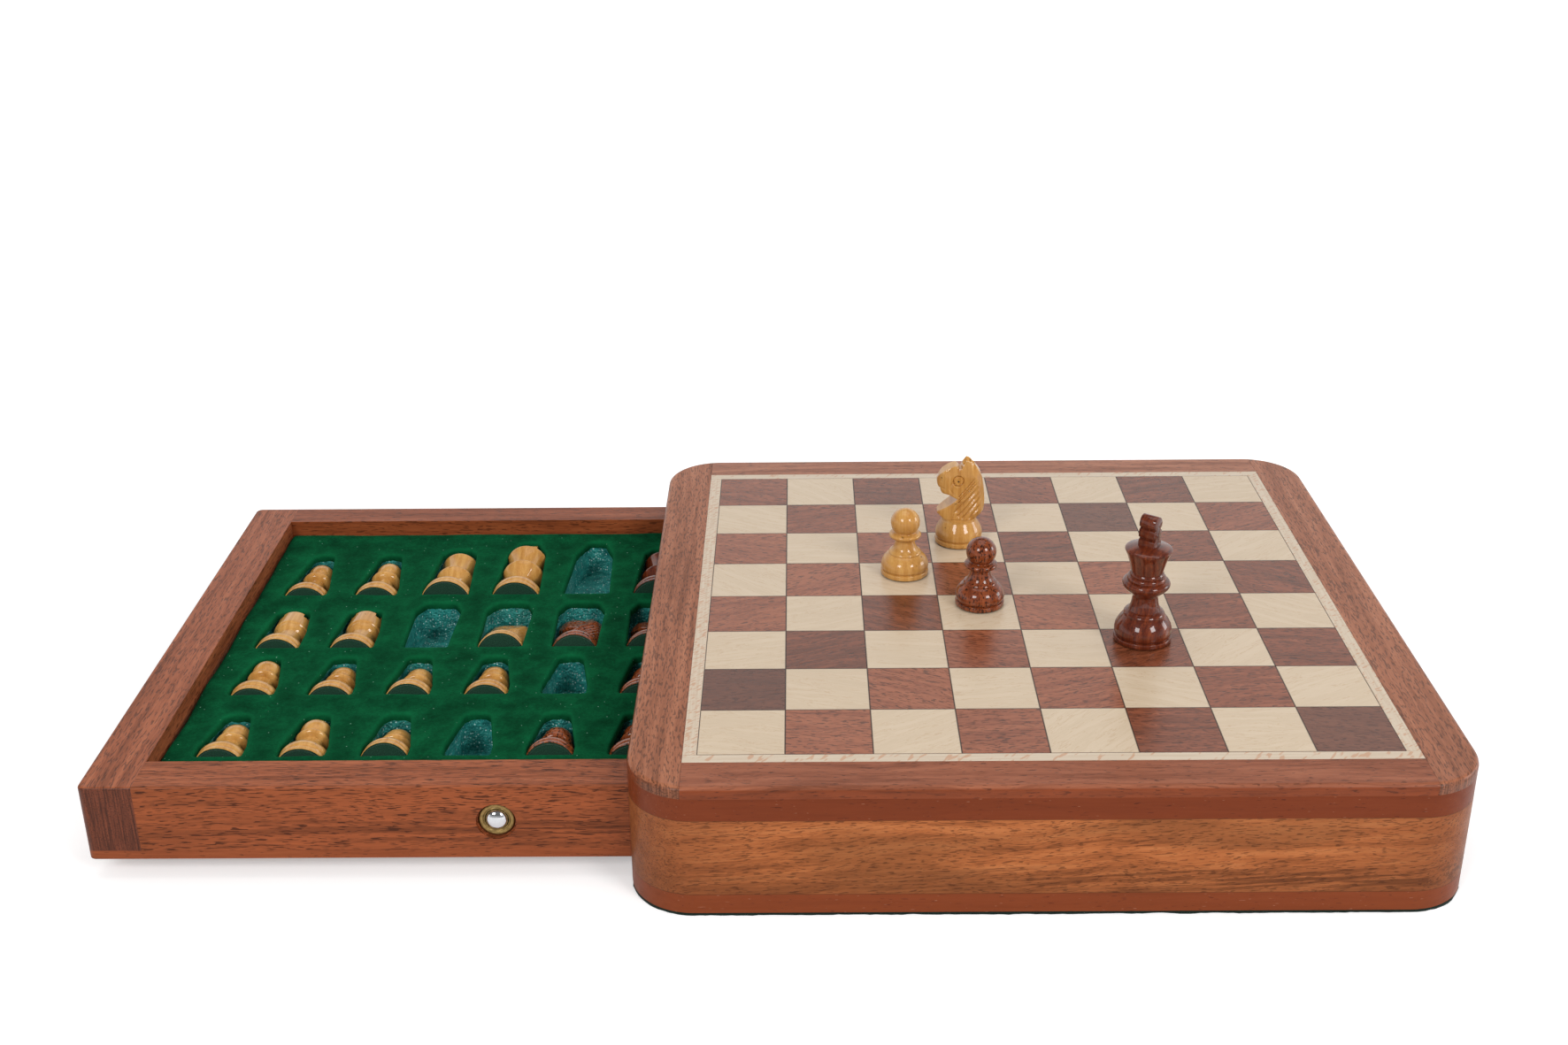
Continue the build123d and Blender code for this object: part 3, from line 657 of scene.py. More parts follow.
def triangulated(loops, loose):
    """A flat sheet inside the first loop with the other loops cut out, through the loose points too.

    Returns its points, its triangles, all facing up, and the numbers of each loop's points.
    """
    verts, edges, starts = [], [], []
    for loop in loops:
        starts.append(len(verts))
        edges += ring_pairs(len(verts), len(loop))
        verts += loop
    flat, _, triangles, sources = delaunay_2d_cdt(verts + loose, edges, [], 0, 1e-6)[:4]
    where = {original: index for index, originals in enumerate(sources) for original in originals}
    numbered = [[where[start + i] for i in range(len(loop))] for start, loop in zip(starts, loops)]
    corners = np.array(flat)[np.array(triangles)]
    middles = corners.mean(axis=1).T
    kept = inside(*middles, loops[0]) & outside_all(*middles, loops[1:])
    (ax, ay), (bx, by), (cx, cy) = corners.transpose(1, 2, 0)
    turns_left = (bx - ax) * (cy - ay) - (cx - ax) * (by - ay) > 0
    faces = [tuple(face if left else reversed(face))
             for face, left, keep in zip(triangles, turns_left, kept) if keep]
    return flat, faces, numbered


SEGMENTS = 48


def lathe(line):
    """Points and faces of a line of (radius, height) turned about the upright axis, closed on the axis."""
    rings = [(r, z) for r, z in line if r > 1e-6]
    turns = [2 * math.pi * index / SEGMENTS for index in range(SEGMENTS)]
    points = [(r * math.cos(turn), r * math.sin(turn), z) for r, z in rings for turn in turns]
    faces = ring_quads(len(rings), SEGMENTS)
    for ring, z, flip in ((0, line[0][1], True), (len(rings) - 1, line[-1][1], False)):
        points.append((0.0, 0.0, z))
        middle = len(points) - 1
        for a, b in ring_pairs(ring * SEGMENTS, SEGMENTS):
            faces.append((b, a, middle) if flip else (a, b, middle))
    return points, faces


# Outlines of the men, from the foot up, in millimetres


def ball(radius, height, start_height, steps=12):
    """A round tip above start_height, from the point after that height."""
    low = math.asin((start_height - height) / radius)
    angles = [low + (math.pi / 2 - low) * i / steps for i in range(1, steps)]
    return [(radius * math.cos(angle), height + radius * math.sin(angle)) for angle in angles] \
        + [(0.0, height + radius)]


def man_outline(radius, plinth, *runs, tip=()):
    """The felt disc and the rim that all the men share, then the plinth, the other runs and the tip."""
    disc, lip, neck = radius - 0.8, radius - 0.4, radius - 0.6
    foot = [
        [(disc - 0.05, 0.0), (disc, 0.05), (disc, 0.38)],
        [(radius - 0.15, 0.42), (radius, 0.6)],
        [(radius, 1.75)],
        [(radius - 0.12, 2.02), (lip, 2.12)],
        [(radius - 0.72, 2.24), (neck, 2.42)],
        [(radius - 0.42, 2.6), *plinth],
    ]
    return joined([*foot, *runs]) + list(tip)


OUTLINES = {
    "pawn": man_outline(
        8.5, [(8.42, 3.2), (8.42, 4.5), (7.75, 6.2), (6.6, 7.6), (5.75, 8.25)],
        [(5.8, 8.65), (5.45, 9.2), (4.85, 9.5)],
        [(4.15, 10.6), (3.65, 12.0), (3.45, 13.3), (3.6, 14.1)],
        [(4.9, 14.3), (5.6, 14.85), (5.72, 15.4), (5.4, 15.95), (4.65, 16.2)],
        [(4.0, 16.3), (3.85, 16.5)], tip=ball(5.2, 20.0, 16.5)),
    "rook": man_outline(
        8.8, [(8.72, 3.3), (8.68, 4.8), (7.95, 6.6), (6.9, 8.1), (6.1, 9.0)],
        [(6.12, 9.5), (5.7, 10.05), (5.1, 10.4)],
        [(4.6, 12.2), (4.35, 14.8), (4.4, 17.0)],
        [(5.2, 17.7), (5.8, 18.6), (5.95, 19.4)],
        [(6.4, 19.8), (6.5, 20.4)],
        [(6.5, 25.4)], [(0.0, 25.4)]),
    "knight": man_outline(
        8.8, [(8.7, 3.4), (8.62, 4.9), (7.95, 6.6), (7.0, 8.2), (6.45, 9.1)],
        [(6.3, 9.5), (6.2, 10.2)], [(0.0, 10.2)]),
    "bishop": man_outline(
        8.8, [(8.72, 3.3), (8.66, 4.8), (7.9, 6.5), (6.8, 7.9), (5.9, 8.7)],
        [(5.9, 9.2), (5.4, 9.8), (4.6, 10.2)],
        [(3.8, 12.2), (3.3, 15.0), (3.15, 17.6)],
        [(4.6, 17.9), (5.45, 18.7), (5.7, 19.5), (5.2, 20.4), (4.0, 20.8)],
        [(3.6, 21.2), (3.7, 21.9)],
        [(4.6, 23.6), (4.9, 25.9), (4.55, 28.1), (3.3, 30.1), (1.8, 31.1), (1.0, 31.35)],
        tip=ball(1.7, 32.7, 31.33, 8)),
    "queen": man_outline(
        9.6, [(9.5, 3.4), (9.4, 5.0), (8.6, 6.9), (7.4, 8.4), (6.6, 9.2)],
        [(6.6, 9.8), (6.0, 10.6), (5.2, 11.0)],
        [(4.4, 12.8), (3.95, 15.0), (3.85, 16.1)],
        [(5.4, 17.4), (6.9, 18.9), (7.4, 20.0), (7.0, 20.95), (6.0, 21.3)],
        [(6.15, 21.9), (5.9, 22.6), (5.3, 22.9)],
        [(5.45, 23.4), (5.15, 24.1), (4.95, 24.3)],
        [(5.5, 27.5), (6.3, 31.0), (7.1, 33.5)],
        [(7.05, 33.9), (6.4, 34.1)],
        [(5.0, 33.8), (3.6, 34.1), (2.2, 34.9), (1.4, 35.0)], tip=ball(2.1, 36.5, 34.95, 8)),
    "king": man_outline(
        9.6, [(9.5, 3.4), (9.4, 5.1), (8.6, 7.0), (7.5, 8.6), (6.75, 9.4)],
        [(6.75, 10.1), (6.1, 10.9), (5.3, 11.3)],
        [(4.65, 13.0), (4.25, 15.2), (4.15, 16.4)],
        [(5.6, 17.8), (7.3, 19.5), (7.9, 20.8), (7.45, 21.8), (6.35, 22.15)],
        [(6.45, 22.7), (6.15, 23.45), (5.6, 23.75)],
        [(5.7, 24.3), (5.4, 24.95), (5.2, 25.1)],
        [(5.9, 28.0), (6.75, 30.7), (7.7, 32.9)],
        [(7.65, 33.3), (7.1, 33.6)],
        [(5.0, 34.2), (2.8, 34.6), (0.0, 34.8)]),
}


def merlons():
    """The four raised parts of a rook's crown."""
    points, faces = [], []
    inner, outer, low, high, notch, soft = 4.4, 6.5, 25.3, 27.4, 2.4, 0.15
    profile = ((outer, low), (outer, high - soft), (outer - soft, high), (inner + soft, high),
               (inner, high - soft), (inner, low))
    wide, steps = len(profile), 8
    quads = [(a, a + wide, b + wide, b) for i in range(steps) for a, b in ring_pairs(i * wide, wide)]
    ends = [tuple(range(wide)), tuple(steps * wide + j for j in reversed(range(wide)))]
    for corner in range(4):
        block = []
        for index in range(steps + 1):
            for radius, height in profile:
                half = math.asin(notch / 2 / radius)
                angle = math.pi / 4 + corner * math.pi / 2 + half + (math.pi / 2 - 2 * half) * index / steps
                block.append((radius * math.cos(angle), radius * math.sin(angle), height))
        add_to(points, faces, block, quads + ends)
    return points, faces


# A notch of the king's block: depth in from its side, and height from the notch's middle
NOTCH = ((0.08, -0.78), (0.22, -0.66), (0.9, -0.12), (0.9, 0.08), (0.22, 0.48), (0.08, 0.62), (0.0, 0.9))


def finial():
    """The king's notched block, with slightly rounded edges."""
    half_depth, half_width, base, crown_top, top = 2.4, 2.9, 33.2, 34.0, 45.0
    side = [(half_depth, base)]
    for share in (0.27, 0.61):
        height = crown_top + share * (top - crown_top)
        side += [(half_depth - inward, height + up) for inward, up in NOTCH]
    side += curve_through([(half_depth, top - 2.4), (half_depth - 0.35, top - 1.3),
                           (half_depth - 1.2, top - 0.4), (0.0, top)], 3)
    outline = side + [(-y, z) for y, z in reversed(side[:-1])]
    rounded = ((half_width, 0.16), (half_width - 0.05, 0.05), (half_width - 0.16, 0.0))
    columns = [(-x, inset) for x, inset in rounded] + [(x, inset) for x, inset in reversed(rounded)]
    points = [(x, y * (1 - inset / half_depth), z - inset * (z > top - 3.0))
              for x, inset in columns for y, z in outline]
    wide = len(outline)
    faces = ring_quads(len(columns), wide)
    faces.append(tuple(reversed(range(wide))))
    faces.append(tuple((len(columns) - 1) * wide + index for index in range(wide)))
    return points, faces


# The knight's horse: two carved flanks over one side outline, and a band between them

HORSE_TOP = 33.2
HORSE_FOOT = (6.2, 9.7)
HORSE_OUTLINE = joined([
    [HORSE_FOOT, (7.6, 10.9), (8.8, 12.5)],
    [(9.1, 15.5), (9.0, 19.0), (8.5, 23.5), (7.4, 27.6), (5.4, 30.9), (3.6, 32.5), (2.2, HORSE_TOP)],
    [(1.5, 32.2), (0.7, 31.0)],
    [(0.2, 29.9), (-0.4, 29.7)],
    [(-1.0, 30.5), (-2.0, 31.0), (-3.6, 30.5), (-5.4, 29.5), (-7.0, 28.3), (-8.0, 27.1)],
    [(-8.5, 26.0), (-8.6, 24.6), (-8.35, 23.2)],
    [(-7.9, 22.6), (-7.5, 22.5)],
    [(-7.3, 21.5), (-6.7, 20.6), (-5.9, 20.3)],
    [(-4.4, 20.2), (-3.0, 19.5), (-1.2, 18.5)],
    [(-2.6, 17.1), (-4.8, 15.4), (-6.6, 14.2), (-8.1, 13.2)],
    [(-8.35, 12.5), (-7.5, 11.2), (-6.2, 9.7)],
], 5)

# Carved grooves of the horse: from, to, half width and depth
GROOVES = [
    ((5.5, 26.6), (-0.5, 19.5), 0.24, 0.58), ((5.9, 25.7), (-0.5, 18.3), 0.24, 0.58),
    ((6.2, 24.7), (-0.7, 17.2), 0.26, 0.62), ((6.4, 22.6), (-1.4, 13.6), 0.5, 0.75),
    ((6.7, 20.4), (-0.6, 11.6), 0.46, 0.62), ((7.0, 18.2), (1.2, 11.0), 0.52, 0.72),
    ((7.4, 15.6), (3.6, 10.9), 0.46, 0.6),
    ((-8.4, 22.9), (-5.9, 22.4), 0.16, 0.3),
    ((-3.4, 24.6), (-4.0, 22.6), 0.3, 0.2), ((-4.0, 22.6), (-2.6, 20.2), 0.3, 0.2),
]
# The edge between the smooth chest and the mane's last cut, and where the head begins above it
MANE_EDGE = ((-1.4, 17.6), (-3.3, 9.9))
CHEST_TOP = 17.4
EYE = (-0.9, 25.4)
EYE_RING, EYE_RING_WIDTH, PUPIL_RADIUS = 1.85, 0.22, 0.33
NOSTRIL, NOSTRIL_RADIUS = (-7.2, 25.3), 0.4
# How deep each of them is cut
MUZZLE_CUT, CHEST_CUT, EYE_CUT, PUPIL_CUT, NOSTRIL_CUT = 0.8, 0.45, 0.6, 0.45, 0.25


def smooth(value, low, high):
    t = np.clip((value - low) / (high - low), 0.0, 1.0)
    return t * t * (3 - 2 * t)


def horse_half_width(px, pz):
    """The horse's half width in y, carved, at places of its side outline."""
    oval = 4.55 * np.sqrt(np.clip(1 - (px / 9.45) ** 2, 0.02, 1))
    taper = np.interp(pz, [9.0, 18.0, 27.0, HORSE_TOP], [4.6, 4.5, 3.6, 2.4])
    blank = HORSE_FOOT[0] + 0.95 * (pz - HORSE_FOOT[1])
    turned = np.sqrt(np.clip(blank ** 2 - px ** 2, 0.3, None))
    width = np.minimum(np.minimum(oval, taper), turned)
    width = width - MUZZLE_CUT * smooth(-px, 3.5, 8.5) * smooth(pz, 18.5, 20.5)
    for start, end, half, depth in GROOVES:
        distance, share = segment_distance(px, pz, start, end)
        fade = 0.35 + 0.65 * smooth(share, 0.0, 0.25)
        width = width - depth * fade * np.exp(-(distance / half) ** 2)
    (top_x, top_z), (low_x, low_z) = MANE_EDGE
    edge_x = low_x + (top_x - low_x) * (pz - low_z) / (top_z - low_z)
    width = width - CHEST_CUT * smooth(px - edge_x, 0.0, 0.5) * smooth(-px, -2.5, 1.0) * (pz < CHEST_TOP)
    from_eye = np.hypot(px - EYE[0], pz - EYE[1])
    width = width - EYE_CUT * np.exp(-((from_eye - EYE_RING) / EYE_RING_WIDTH) ** 2)
    width = width - PUPIL_CUT * (from_eye < PUPIL_RADIUS)
    from_nostril = np.hypot(px - NOSTRIL[0], pz - NOSTRIL[1])
    return width - NOSTRIL_CUT * np.exp(-(from_nostril / NOSTRIL_RADIUS) ** 2)


def horse():
    """The carved horse: points of a fine grid over its side outline, moved out by the half width."""
    spacing, edge_round, least_width = 0.32, 0.22, 0.25
    eye_room, outline_room = 2.35, 0.28
    crest_slope, crest_reach = 0.6, 2.3
    ear_notch = 2.6
    grid = []
    for i in range(int(20 / spacing)):
        for j in range(int(25 / spacing)):
            x = -9.6 + i * spacing + 0.5 * spacing * (j % 2)
            z = 9.0 + j * spacing
            if math.hypot(x - EYE[0], z - EYE[1]) > eye_room:
                grid.append((x, z))
    for radius in (0.32, 0.34, 0.9, 1.4, 1.66, EYE_RING, 2.04, 2.3):
        ring = 10 if radius < 0.5 else 26
        angles = [2 * math.pi * k / ring for k in range(ring)]
        grid += [(EYE[0] + radius * math.cos(angle), EYE[1] + radius * math.sin(angle)) for angle in angles]
    grid = np.array([*grid, EYE])
    kept = inside(*grid.T, HORSE_OUTLINE) & (outline_distance(*grid.T, HORSE_OUTLINE) > outline_room)
    outline = [Vector(point) for point in HORSE_OUTLINE]
    flat, flank, (loop,) = triangulated([outline], [Vector(point) for point in grid[kept]])
    px, pz = np.array(flat).T
    away = outline_distance(px, pz, HORSE_OUTLINE)
    crest = crest_slope * np.clip(crest_reach - away, 0.0, None) * smooth(px, 3.2, 4.6)
    width = horse_half_width(px, pz) - crest
    roll = np.clip(1 - away / edge_round, 0, 1)
    width = np.maximum(width - edge_round * (1 - np.sqrt(np.clip(1 - roll ** 2, 0, 1))), least_width)
    points = [(x, side * half, z) for side in (-1, 1) for x, half, z in zip(px, width, pz)]
    faces = flank + [tuple(len(flat) + k for k in reversed(face)) for face in flank]
    upper = loop
    for share in (0.5, 0.0, -0.5):
        row = []
        for i in loop:
            dip = ear_notch * smooth(pz[i], 30.6, 32.6) * smooth(px[i], 0.2, 1.6)
            dip = dip * (1 - abs(share)) * (1.0 if px[i] < 5.0 else 0.4)
            row.append((px[i], -width[i] * share, pz[i] - dip))
        lower = add_ring(points, row)
        wall_between(faces, upper, lower)
        upper = lower
    wall_between(faces, upper, [len(flat) + i for i in loop])
    return points, faces


FELT_TOP = 0.4
HEADS = {"rook": merlons, "king": finial, "knight": horse}


def man_mesh(kind):
    """Points, faces and each face's material for one kind: 0 wood, 1 felt, 2 pupil with painted shade."""
    points, faces = lathe(OUTLINES[kind])
    if kind in HEADS:
        add_to(points, faces, *HEADS[kind]())
    which = []
    for face in faces:
        x, height = [sum(points[i][axis] for i in face) / len(face) for axis in (0, 2)]
        near_eye = kind == "knight" and math.hypot(x - EYE[0], height - EYE[1]) < PUPIL_RADIUS
        which.append(1 if height < FELT_TOP else 2 if near_eye else 0)
    return points, faces, which


MAN_MESHES = {kind: man_mesh(kind) for kind in OUTLINES}

COLUMN_PITCH = 26.4
DRAWER_X = -168.0
BOARD_TOP = 44.6


def make_man(name, kind, colour):
    points, faces, which = MAN_MESHES[kind]
    dark = DEEP_RED if kind in ("king", "queen") else SPECKLED
    materials = [BOXWOOD if colour == "cream" else dark, FOOT_FELT, PUPIL_SHADE]
    return mesh_object(name + "_turned", points, faces, materials, which)


def settle(made, node_name, place):
    """Puts a man's piece in its CAD node's place and lets it ride on that node's body."""
    made.matrix_world = place
    stand_in(made, node_name, nodes[node_name]["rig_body"])


def lay(name, kind, colour, x, droop):
    rotation = Matrix.Rotation(-(math.pi / 2 + math.radians(droop)), 4, "X")
    made = make_man(name, kind, colour)
    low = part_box(name)[0]
    spots = [rotation @ vertex.co for vertex in made.data.vertices]
    low_y = min(spot.y for spot in spots)
    low_z = min(spot.z for spot in spots)
    place = Vector((x * MM, low.y - low_y, low.z - low_z))
    settle(made, name, Matrix.Translation(place) @ rotation)


# The kinds in each row of the drawer, from the front: cream in the left four columns, dark in the others
ROWS = (
    ("pawn",) * 8,
    ("pawn",) * 8,
    ("rook", "rook", "knight", "knight", "knight", "knight", "rook", "rook"),
    ("bishop", "bishop", "queen", "king", "king", "queen", "bishop", "bishop"),
)
# Row and column of the men that stand on the board
TAKEN = ((0, 3), (1, 4), (2, 2), (3, 4))
# How far the heads droop in those places, in degrees, as in the CAD source
DROOPS = (
    (1.2, -3.6, 10.2, 10.2, 8.5, 4.0, 6.5, 2.0),
    (-5.0, 3.0, 6.4, 3.7, 6.0, 5.0, 2.0, 6.0),
    (1.8, 1.2, 12.0, 12.0, 7.0, 9.0, 2.0, 1.5),
    (0.1, -0.9, 3.4, -2.4, 3.5, 3.0, 1.0, 0.5),
)
# The front edge of each row
ROW_STARTS = (-77.98, -38.5, -5.07, 36.65)
# Kind, colour, x, y and turn in degrees
BOARD_MEN = (
    ("pawn", "cream", -37.0, 18.4, 0),
    ("knight", "cream", -15.4, 45.6, 0),
    ("pawn", "dark", -12.3, -6.6, 0),
    ("king", "dark", 39.6, -33.2, -40),
)
counts = {}
slots = []


def next_name(kind, colour):
    if kind in ("king", "queen"):
        return f"{colour}_{kind}"
    counts[kind, colour] = counts.get((kind, colour), 0) + 1
    return f"{colour}_{kind}_{counts[kind, colour]}"


for row, (kinds, droops, row_start) in enumerate(zip(ROWS, DROOPS, ROW_STARTS)):
    for column, (kind, droop) in enumerate(zip(kinds, droops)):
        column_x = DRAWER_X + (column - 3.5) * COLUMN_PITCH
        slots.append((kind, column_x, row_start))
        if (row, column) not in TAKEN:
            colour = "cream" if column < 4 else "dark"
            lay(next_name(kind, colour), kind, colour, column_x, droop)

for kind, colour, x, y, turn in BOARD_MEN:
    name = next_name(kind, colour)
    place = Matrix.Translation(Vector((x, y, BOARD_TOP)) * MM) @ Matrix.Rotation(math.radians(turn), 4, "Z")
    settle(make_man(name, kind, colour), name, place)


# Ball catch in the drawer's front: a dished cup with a thin lip round its bore, and the ball in it

CATCH = Vector((DRAWER_X, -100.0, 20.5)) * MM
CUP = joined([
    [(5.7, -5.0), (5.7, 2.9)],
    [(5.62, 3.25), (5.3, 3.6), (4.8, 3.74), (4.35, 3.6), (4.12, 3.32)],
    [(4.0, 3.24), (3.86, 3.34), (3.7, 3.26), (3.62, 2.9)],
    [(3.6, -4.0)],
    [(0.0, -4.0)],
])
BALL_RADIUS, BALL_HALF_HEIGHT, BALL_PLACE, BALL_STEPS = 3.5, 2.1, 3.0, 32
ball_angles = [math.pi * i / BALL_STEPS for i in range(BALL_STEPS + 1)]
CATCH_BALL = [(BALL_RADIUS * math.sin(angle), BALL_PLACE - BALL_HALF_HEIGHT * math.cos(angle))
              for angle in ball_angles]


def catch_part(name, line, material, node_name, body):
    made = mesh_object(name, *lathe(line), [material])
    made.matrix_world = Matrix.Translation(CATCH) @ Matrix.Rotation(math.pi / 2, 4, "X")
    stand_in(made, node_name, body)


catch_part("catch_cup", CUP, BRASS, "catch_housing", "drawer")
catch_part("catch_ball_polished", CATCH_BALL, CHROME, "catch_ball", "catch_ball")


# Foam insert and velvet cover of the drawer

WELL_LEFT, WELL_RIGHT = DRAWER_X - 110.0, DRAWER_X + 110.0
WELL_FRONT, WELL_BACK = -89.4, 91.6
SLOT_FLOOR = 13.1
VELVET_TOP = 28.1
# The foam shows only in the slots, below the velvet's edge
FOAM_TOP = 25.1
FOAM_BOTTOM = 10.7
# How far the velvet reaches over a slot at the foot, at the head and at both ends
VELVET_OVERHANG = (1.2, 1.5, 0.3)
FOAM_LIP = 0.12
# The radii of the velvet's edges, at the slots and round its border
SLOT_ROLL, BORDER_ROLL = 0.9, 1.6
# The radii of a slot's corners at the foot, at the shoulder and, at most, at the head
FOOT_ROUND, SHOULDER_ROUND, HEAD_ROUND = 0.9, 2.0, 3.4
CORNER_STEPS, SIDE_STEPS = 6, 8

# Each kind's slot: half width at the foot, shoulder, half width at the head and length
SLOTS = {
    "pawn": (8.85, (8.85, 6.6), 5.55, 27.0),
    "rook": (9.15, (9.15, 12.0), 7.35, 29.3),
    "knight": (9.15, (9.7, 28.2), 7.0, 35.5),
    "bishop": (9.15, (9.15, 6.6), 5.25, 36.0),
    "queen": (9.95, (7.8, 35.1), 4.8, 39.9),
    "king": (9.95, (8.4, 34.4), 4.6, 46.3),
}


def rectangle(left, right, front, back):
    return [(left, front), (right, front), (right, back), (left, back)]


def rounded_outline(corners, radii, steps=CORNER_STEPS):
    """A closed outline with rounded corners, always with the same number of points."""
    corners = [Vector(corner) for corner in corners]
    line = []
    for last, (here, following), radius in zip(corners[-1:] + corners, sides(corners), radii):
        before, after = (last - here).normalized(), (following - here).normalized()
        half = before.angle(after) / 2
        reach = radius / math.tan(half)
        centre = here + (before + after).normalized() * (radius / math.sin(half))
        start = here + before * reach - centre
        end = here + after * reach - centre
        for step in range(steps + 1):
            line.append(centre + start.lerp(end, step / steps).normalized() * radius)
    return line


def divided(outline, steps):
    """A rounded outline with every straight side cut in equal parts."""
    line = []
    for index, (here, following) in enumerate(sides(outline)):
        parts = steps if index % (CORNER_STEPS + 1) == CORNER_STEPS else 1
        line += [here] + [here.lerp(following, step / parts) for step in range(1, parts)]
    return line


def spaced(outline, spacing):
    """The outline with more points wherever they are further apart than the spacing."""
    line = []
    for here, following in sides(outline):
        parts = max(1, round((following - here).length / spacing))
        line += [here.lerp(following, part / parts) for part in range(parts)]
    return line


def slot_line(kind, x, y, foot_inset=0.0, head_inset=0.0, end_inset=0.0):
    """A slot's outline in the drawer, made narrower by insets where the velvet reaches over its edge."""
    foot_half, shoulder, head_half, length = SLOTS[kind]
    right = [(foot_half - foot_inset, end_inset), (shoulder[0] - foot_inset, shoulder[1]),
             (head_half - head_inset, length - end_inset)]
    left = [(-side, place) for side, place in reversed(right)]
    tip = min(HEAD_ROUND, head_half - head_inset - 0.3)
    radii = (FOOT_ROUND, SHOULDER_ROUND, tip, tip, SHOULDER_ROUND, FOOT_ROUND)
    outline = divided(rounded_outline(right + left, radii), SIDE_STEPS)
    return [Vector((x + spot.x, y + spot.y)) for spot in outline]


def grown(outline, distance):
    """The outline moved outwards by a distance."""
    moved = []
    for last, (here, following) in zip(outline[-1:] + outline, sides(outline)):
        along = following - last
        moved.append(here + Vector((along.y, -along.x)).normalized() * distance)
    return moved


def pairs(spots):
    return [(spot.x, spot.y) for spot in spots]


def ripple(x, y, size, amount, level=0.3):
    return amount * noise.noise(Vector((x / size, y / size, level)))


def roughness_at(spot, height, amount, scale):
    return amount * noise.noise(Vector((spot.x, spot.y, height)) * scale)


def border_line(inset, wobble):
    """The insert's edge in plan, a little wavy."""
    corners = rectangle(WELL_LEFT + inset, WELL_RIGHT - inset, WELL_FRONT + inset, WELL_BACK - inset)
    line = []
    for spot in spaced(rounded_outline(corners, [2.0] * 4), 3.0):
        pull = wobble * (0.5 + ripple(spot.x, spot.y, 16.0, 1.0, 2.0))
        towards = (Vector((DRAWER_X, 0.0)) - spot).normalized()
        line.append(spot + towards * max(0.0, pull))
    return line


def slot_distance(px, py, outlines):
    """For many places, the distance from the nearest slot outline, exact near the slots."""
    margin = 6
    best = np.full(len(px), 99.0)
    for line in map(pairs, outlines):
        low_x, low_y = np.min(line, axis=0) - margin
        high_x, high_y = np.max(line, axis=0) + margin
        near = (px > low_x) & (px < high_x) & (py > low_y) & (py < high_y)
        if near.any():
            best[near] = np.minimum(best[near], outline_distance(px[near], py[near], line))
    return best


def rolled(gap, radius):
    """How far a rounded edge has dropped at a gap from its side."""
    share = min(max(1 - gap / radius, 0.0), 1.0)
    return radius * (1 - math.sqrt(max(0.0, 1 - share ** 2)))


def velvet_cover():
    """The velvet over the foam, rolled and turned down at the slots and round its border."""
    slot_rows, border_rows = (0.12, 0.32, 0.6, 0.95, 1.9, 3.0), (0.2, 0.7, 1.5, 2.6)
    spacing, slot_room, crown_height = 2.4, 3.6, 0.35
    soft_lines = [slot_line(kind, x, y, *VELVET_OVERHANG) for kind, x, y in slots]
    border = border_line(0.1, 0.9)
    loose = []
    for line in soft_lines:
        for distance in slot_rows:
            loose += grown(line, distance)
    for distance in border_rows:
        loose += grown(border, -distance)
    grid = np.array([(x, y) for x in np.arange(WELL_LEFT + 3, WELL_RIGHT - 2, spacing)
                     for y in np.arange(WELL_FRONT + 3, WELL_BACK - 2, spacing)])
    free = (slot_distance(*grid.T, soft_lines) > slot_room) & outside_all(*grid.T, soft_lines)
    loose += [Vector(spot) for spot in grid[free]]
    flat, faces, rings = triangulated([border, *soft_lines], loose)
    px, py = np.array(flat).T
    points, rim = [], []
    for x, y, slot_gap, border_gap in zip(px, py, slot_distance(px, py, soft_lines),
                                          outline_distance(px, py, pairs(border))):
        drop = rolled(slot_gap, SLOT_ROLL) + rolled(border_gap, BORDER_ROLL)
        crown = crown_height * (1 - math.exp(-slot_gap / 3.0)) * (1 - math.exp(-border_gap / 4.0))
        height = VELVET_TOP - 0.15 + crown + ripple(x, y, 11.0, 0.22) + ripple(x + 50, y, 3.1, 0.05) - drop
        points.append((x, y, height))
        # rim: painted sheen on the rolled slot edges, and lighter green in a wider halo round each slot
        rim.append(0.65 * math.exp(-(slot_gap / 0.9) ** 2) + 0.3 * math.exp(-(slot_gap / 4.0) ** 2))
    for ring in rings:
        at_border = ring is rings[0]
        upper = ring
        # The turned-down edges carry painted sheen as well, strong at the top and faint below
        for depth, painted_sheen in zip((1.5, 3.0) if at_border else (1.0, 2.0), (0.35, 0.05)):
            edge = [points[i] for i in ring]
            lower = add_ring(points, [(x, y, z - depth - ripple(x, y, 2.0, 0.5)) for x, y, z in edge])
            rim += [painted_sheen] * len(ring)
            wall_between(faces, *((lower, upper) if at_border else (upper, lower)))
            upper = lower
    made = mesh_object("velvet_sheet", points, faces, [VELVET], sharp=80.0)
    attribute = made.data.attributes.new("rim", "FLOAT", "POINT")
    attribute.data.foreach_set("value", np.array(rim, np.float32))
    return made


# How a slot widens in the foam: heights, and shares of the way from the velvet's edge to the full slot
FOAM_LEVELS = ((25.0, 0.0), (23.4, 0.75), (21.4, 1.0), (18.5, 1.0), (15.6, 1.0), (14.0, 0.97),
               (SLOT_FLOOR, 0.88))


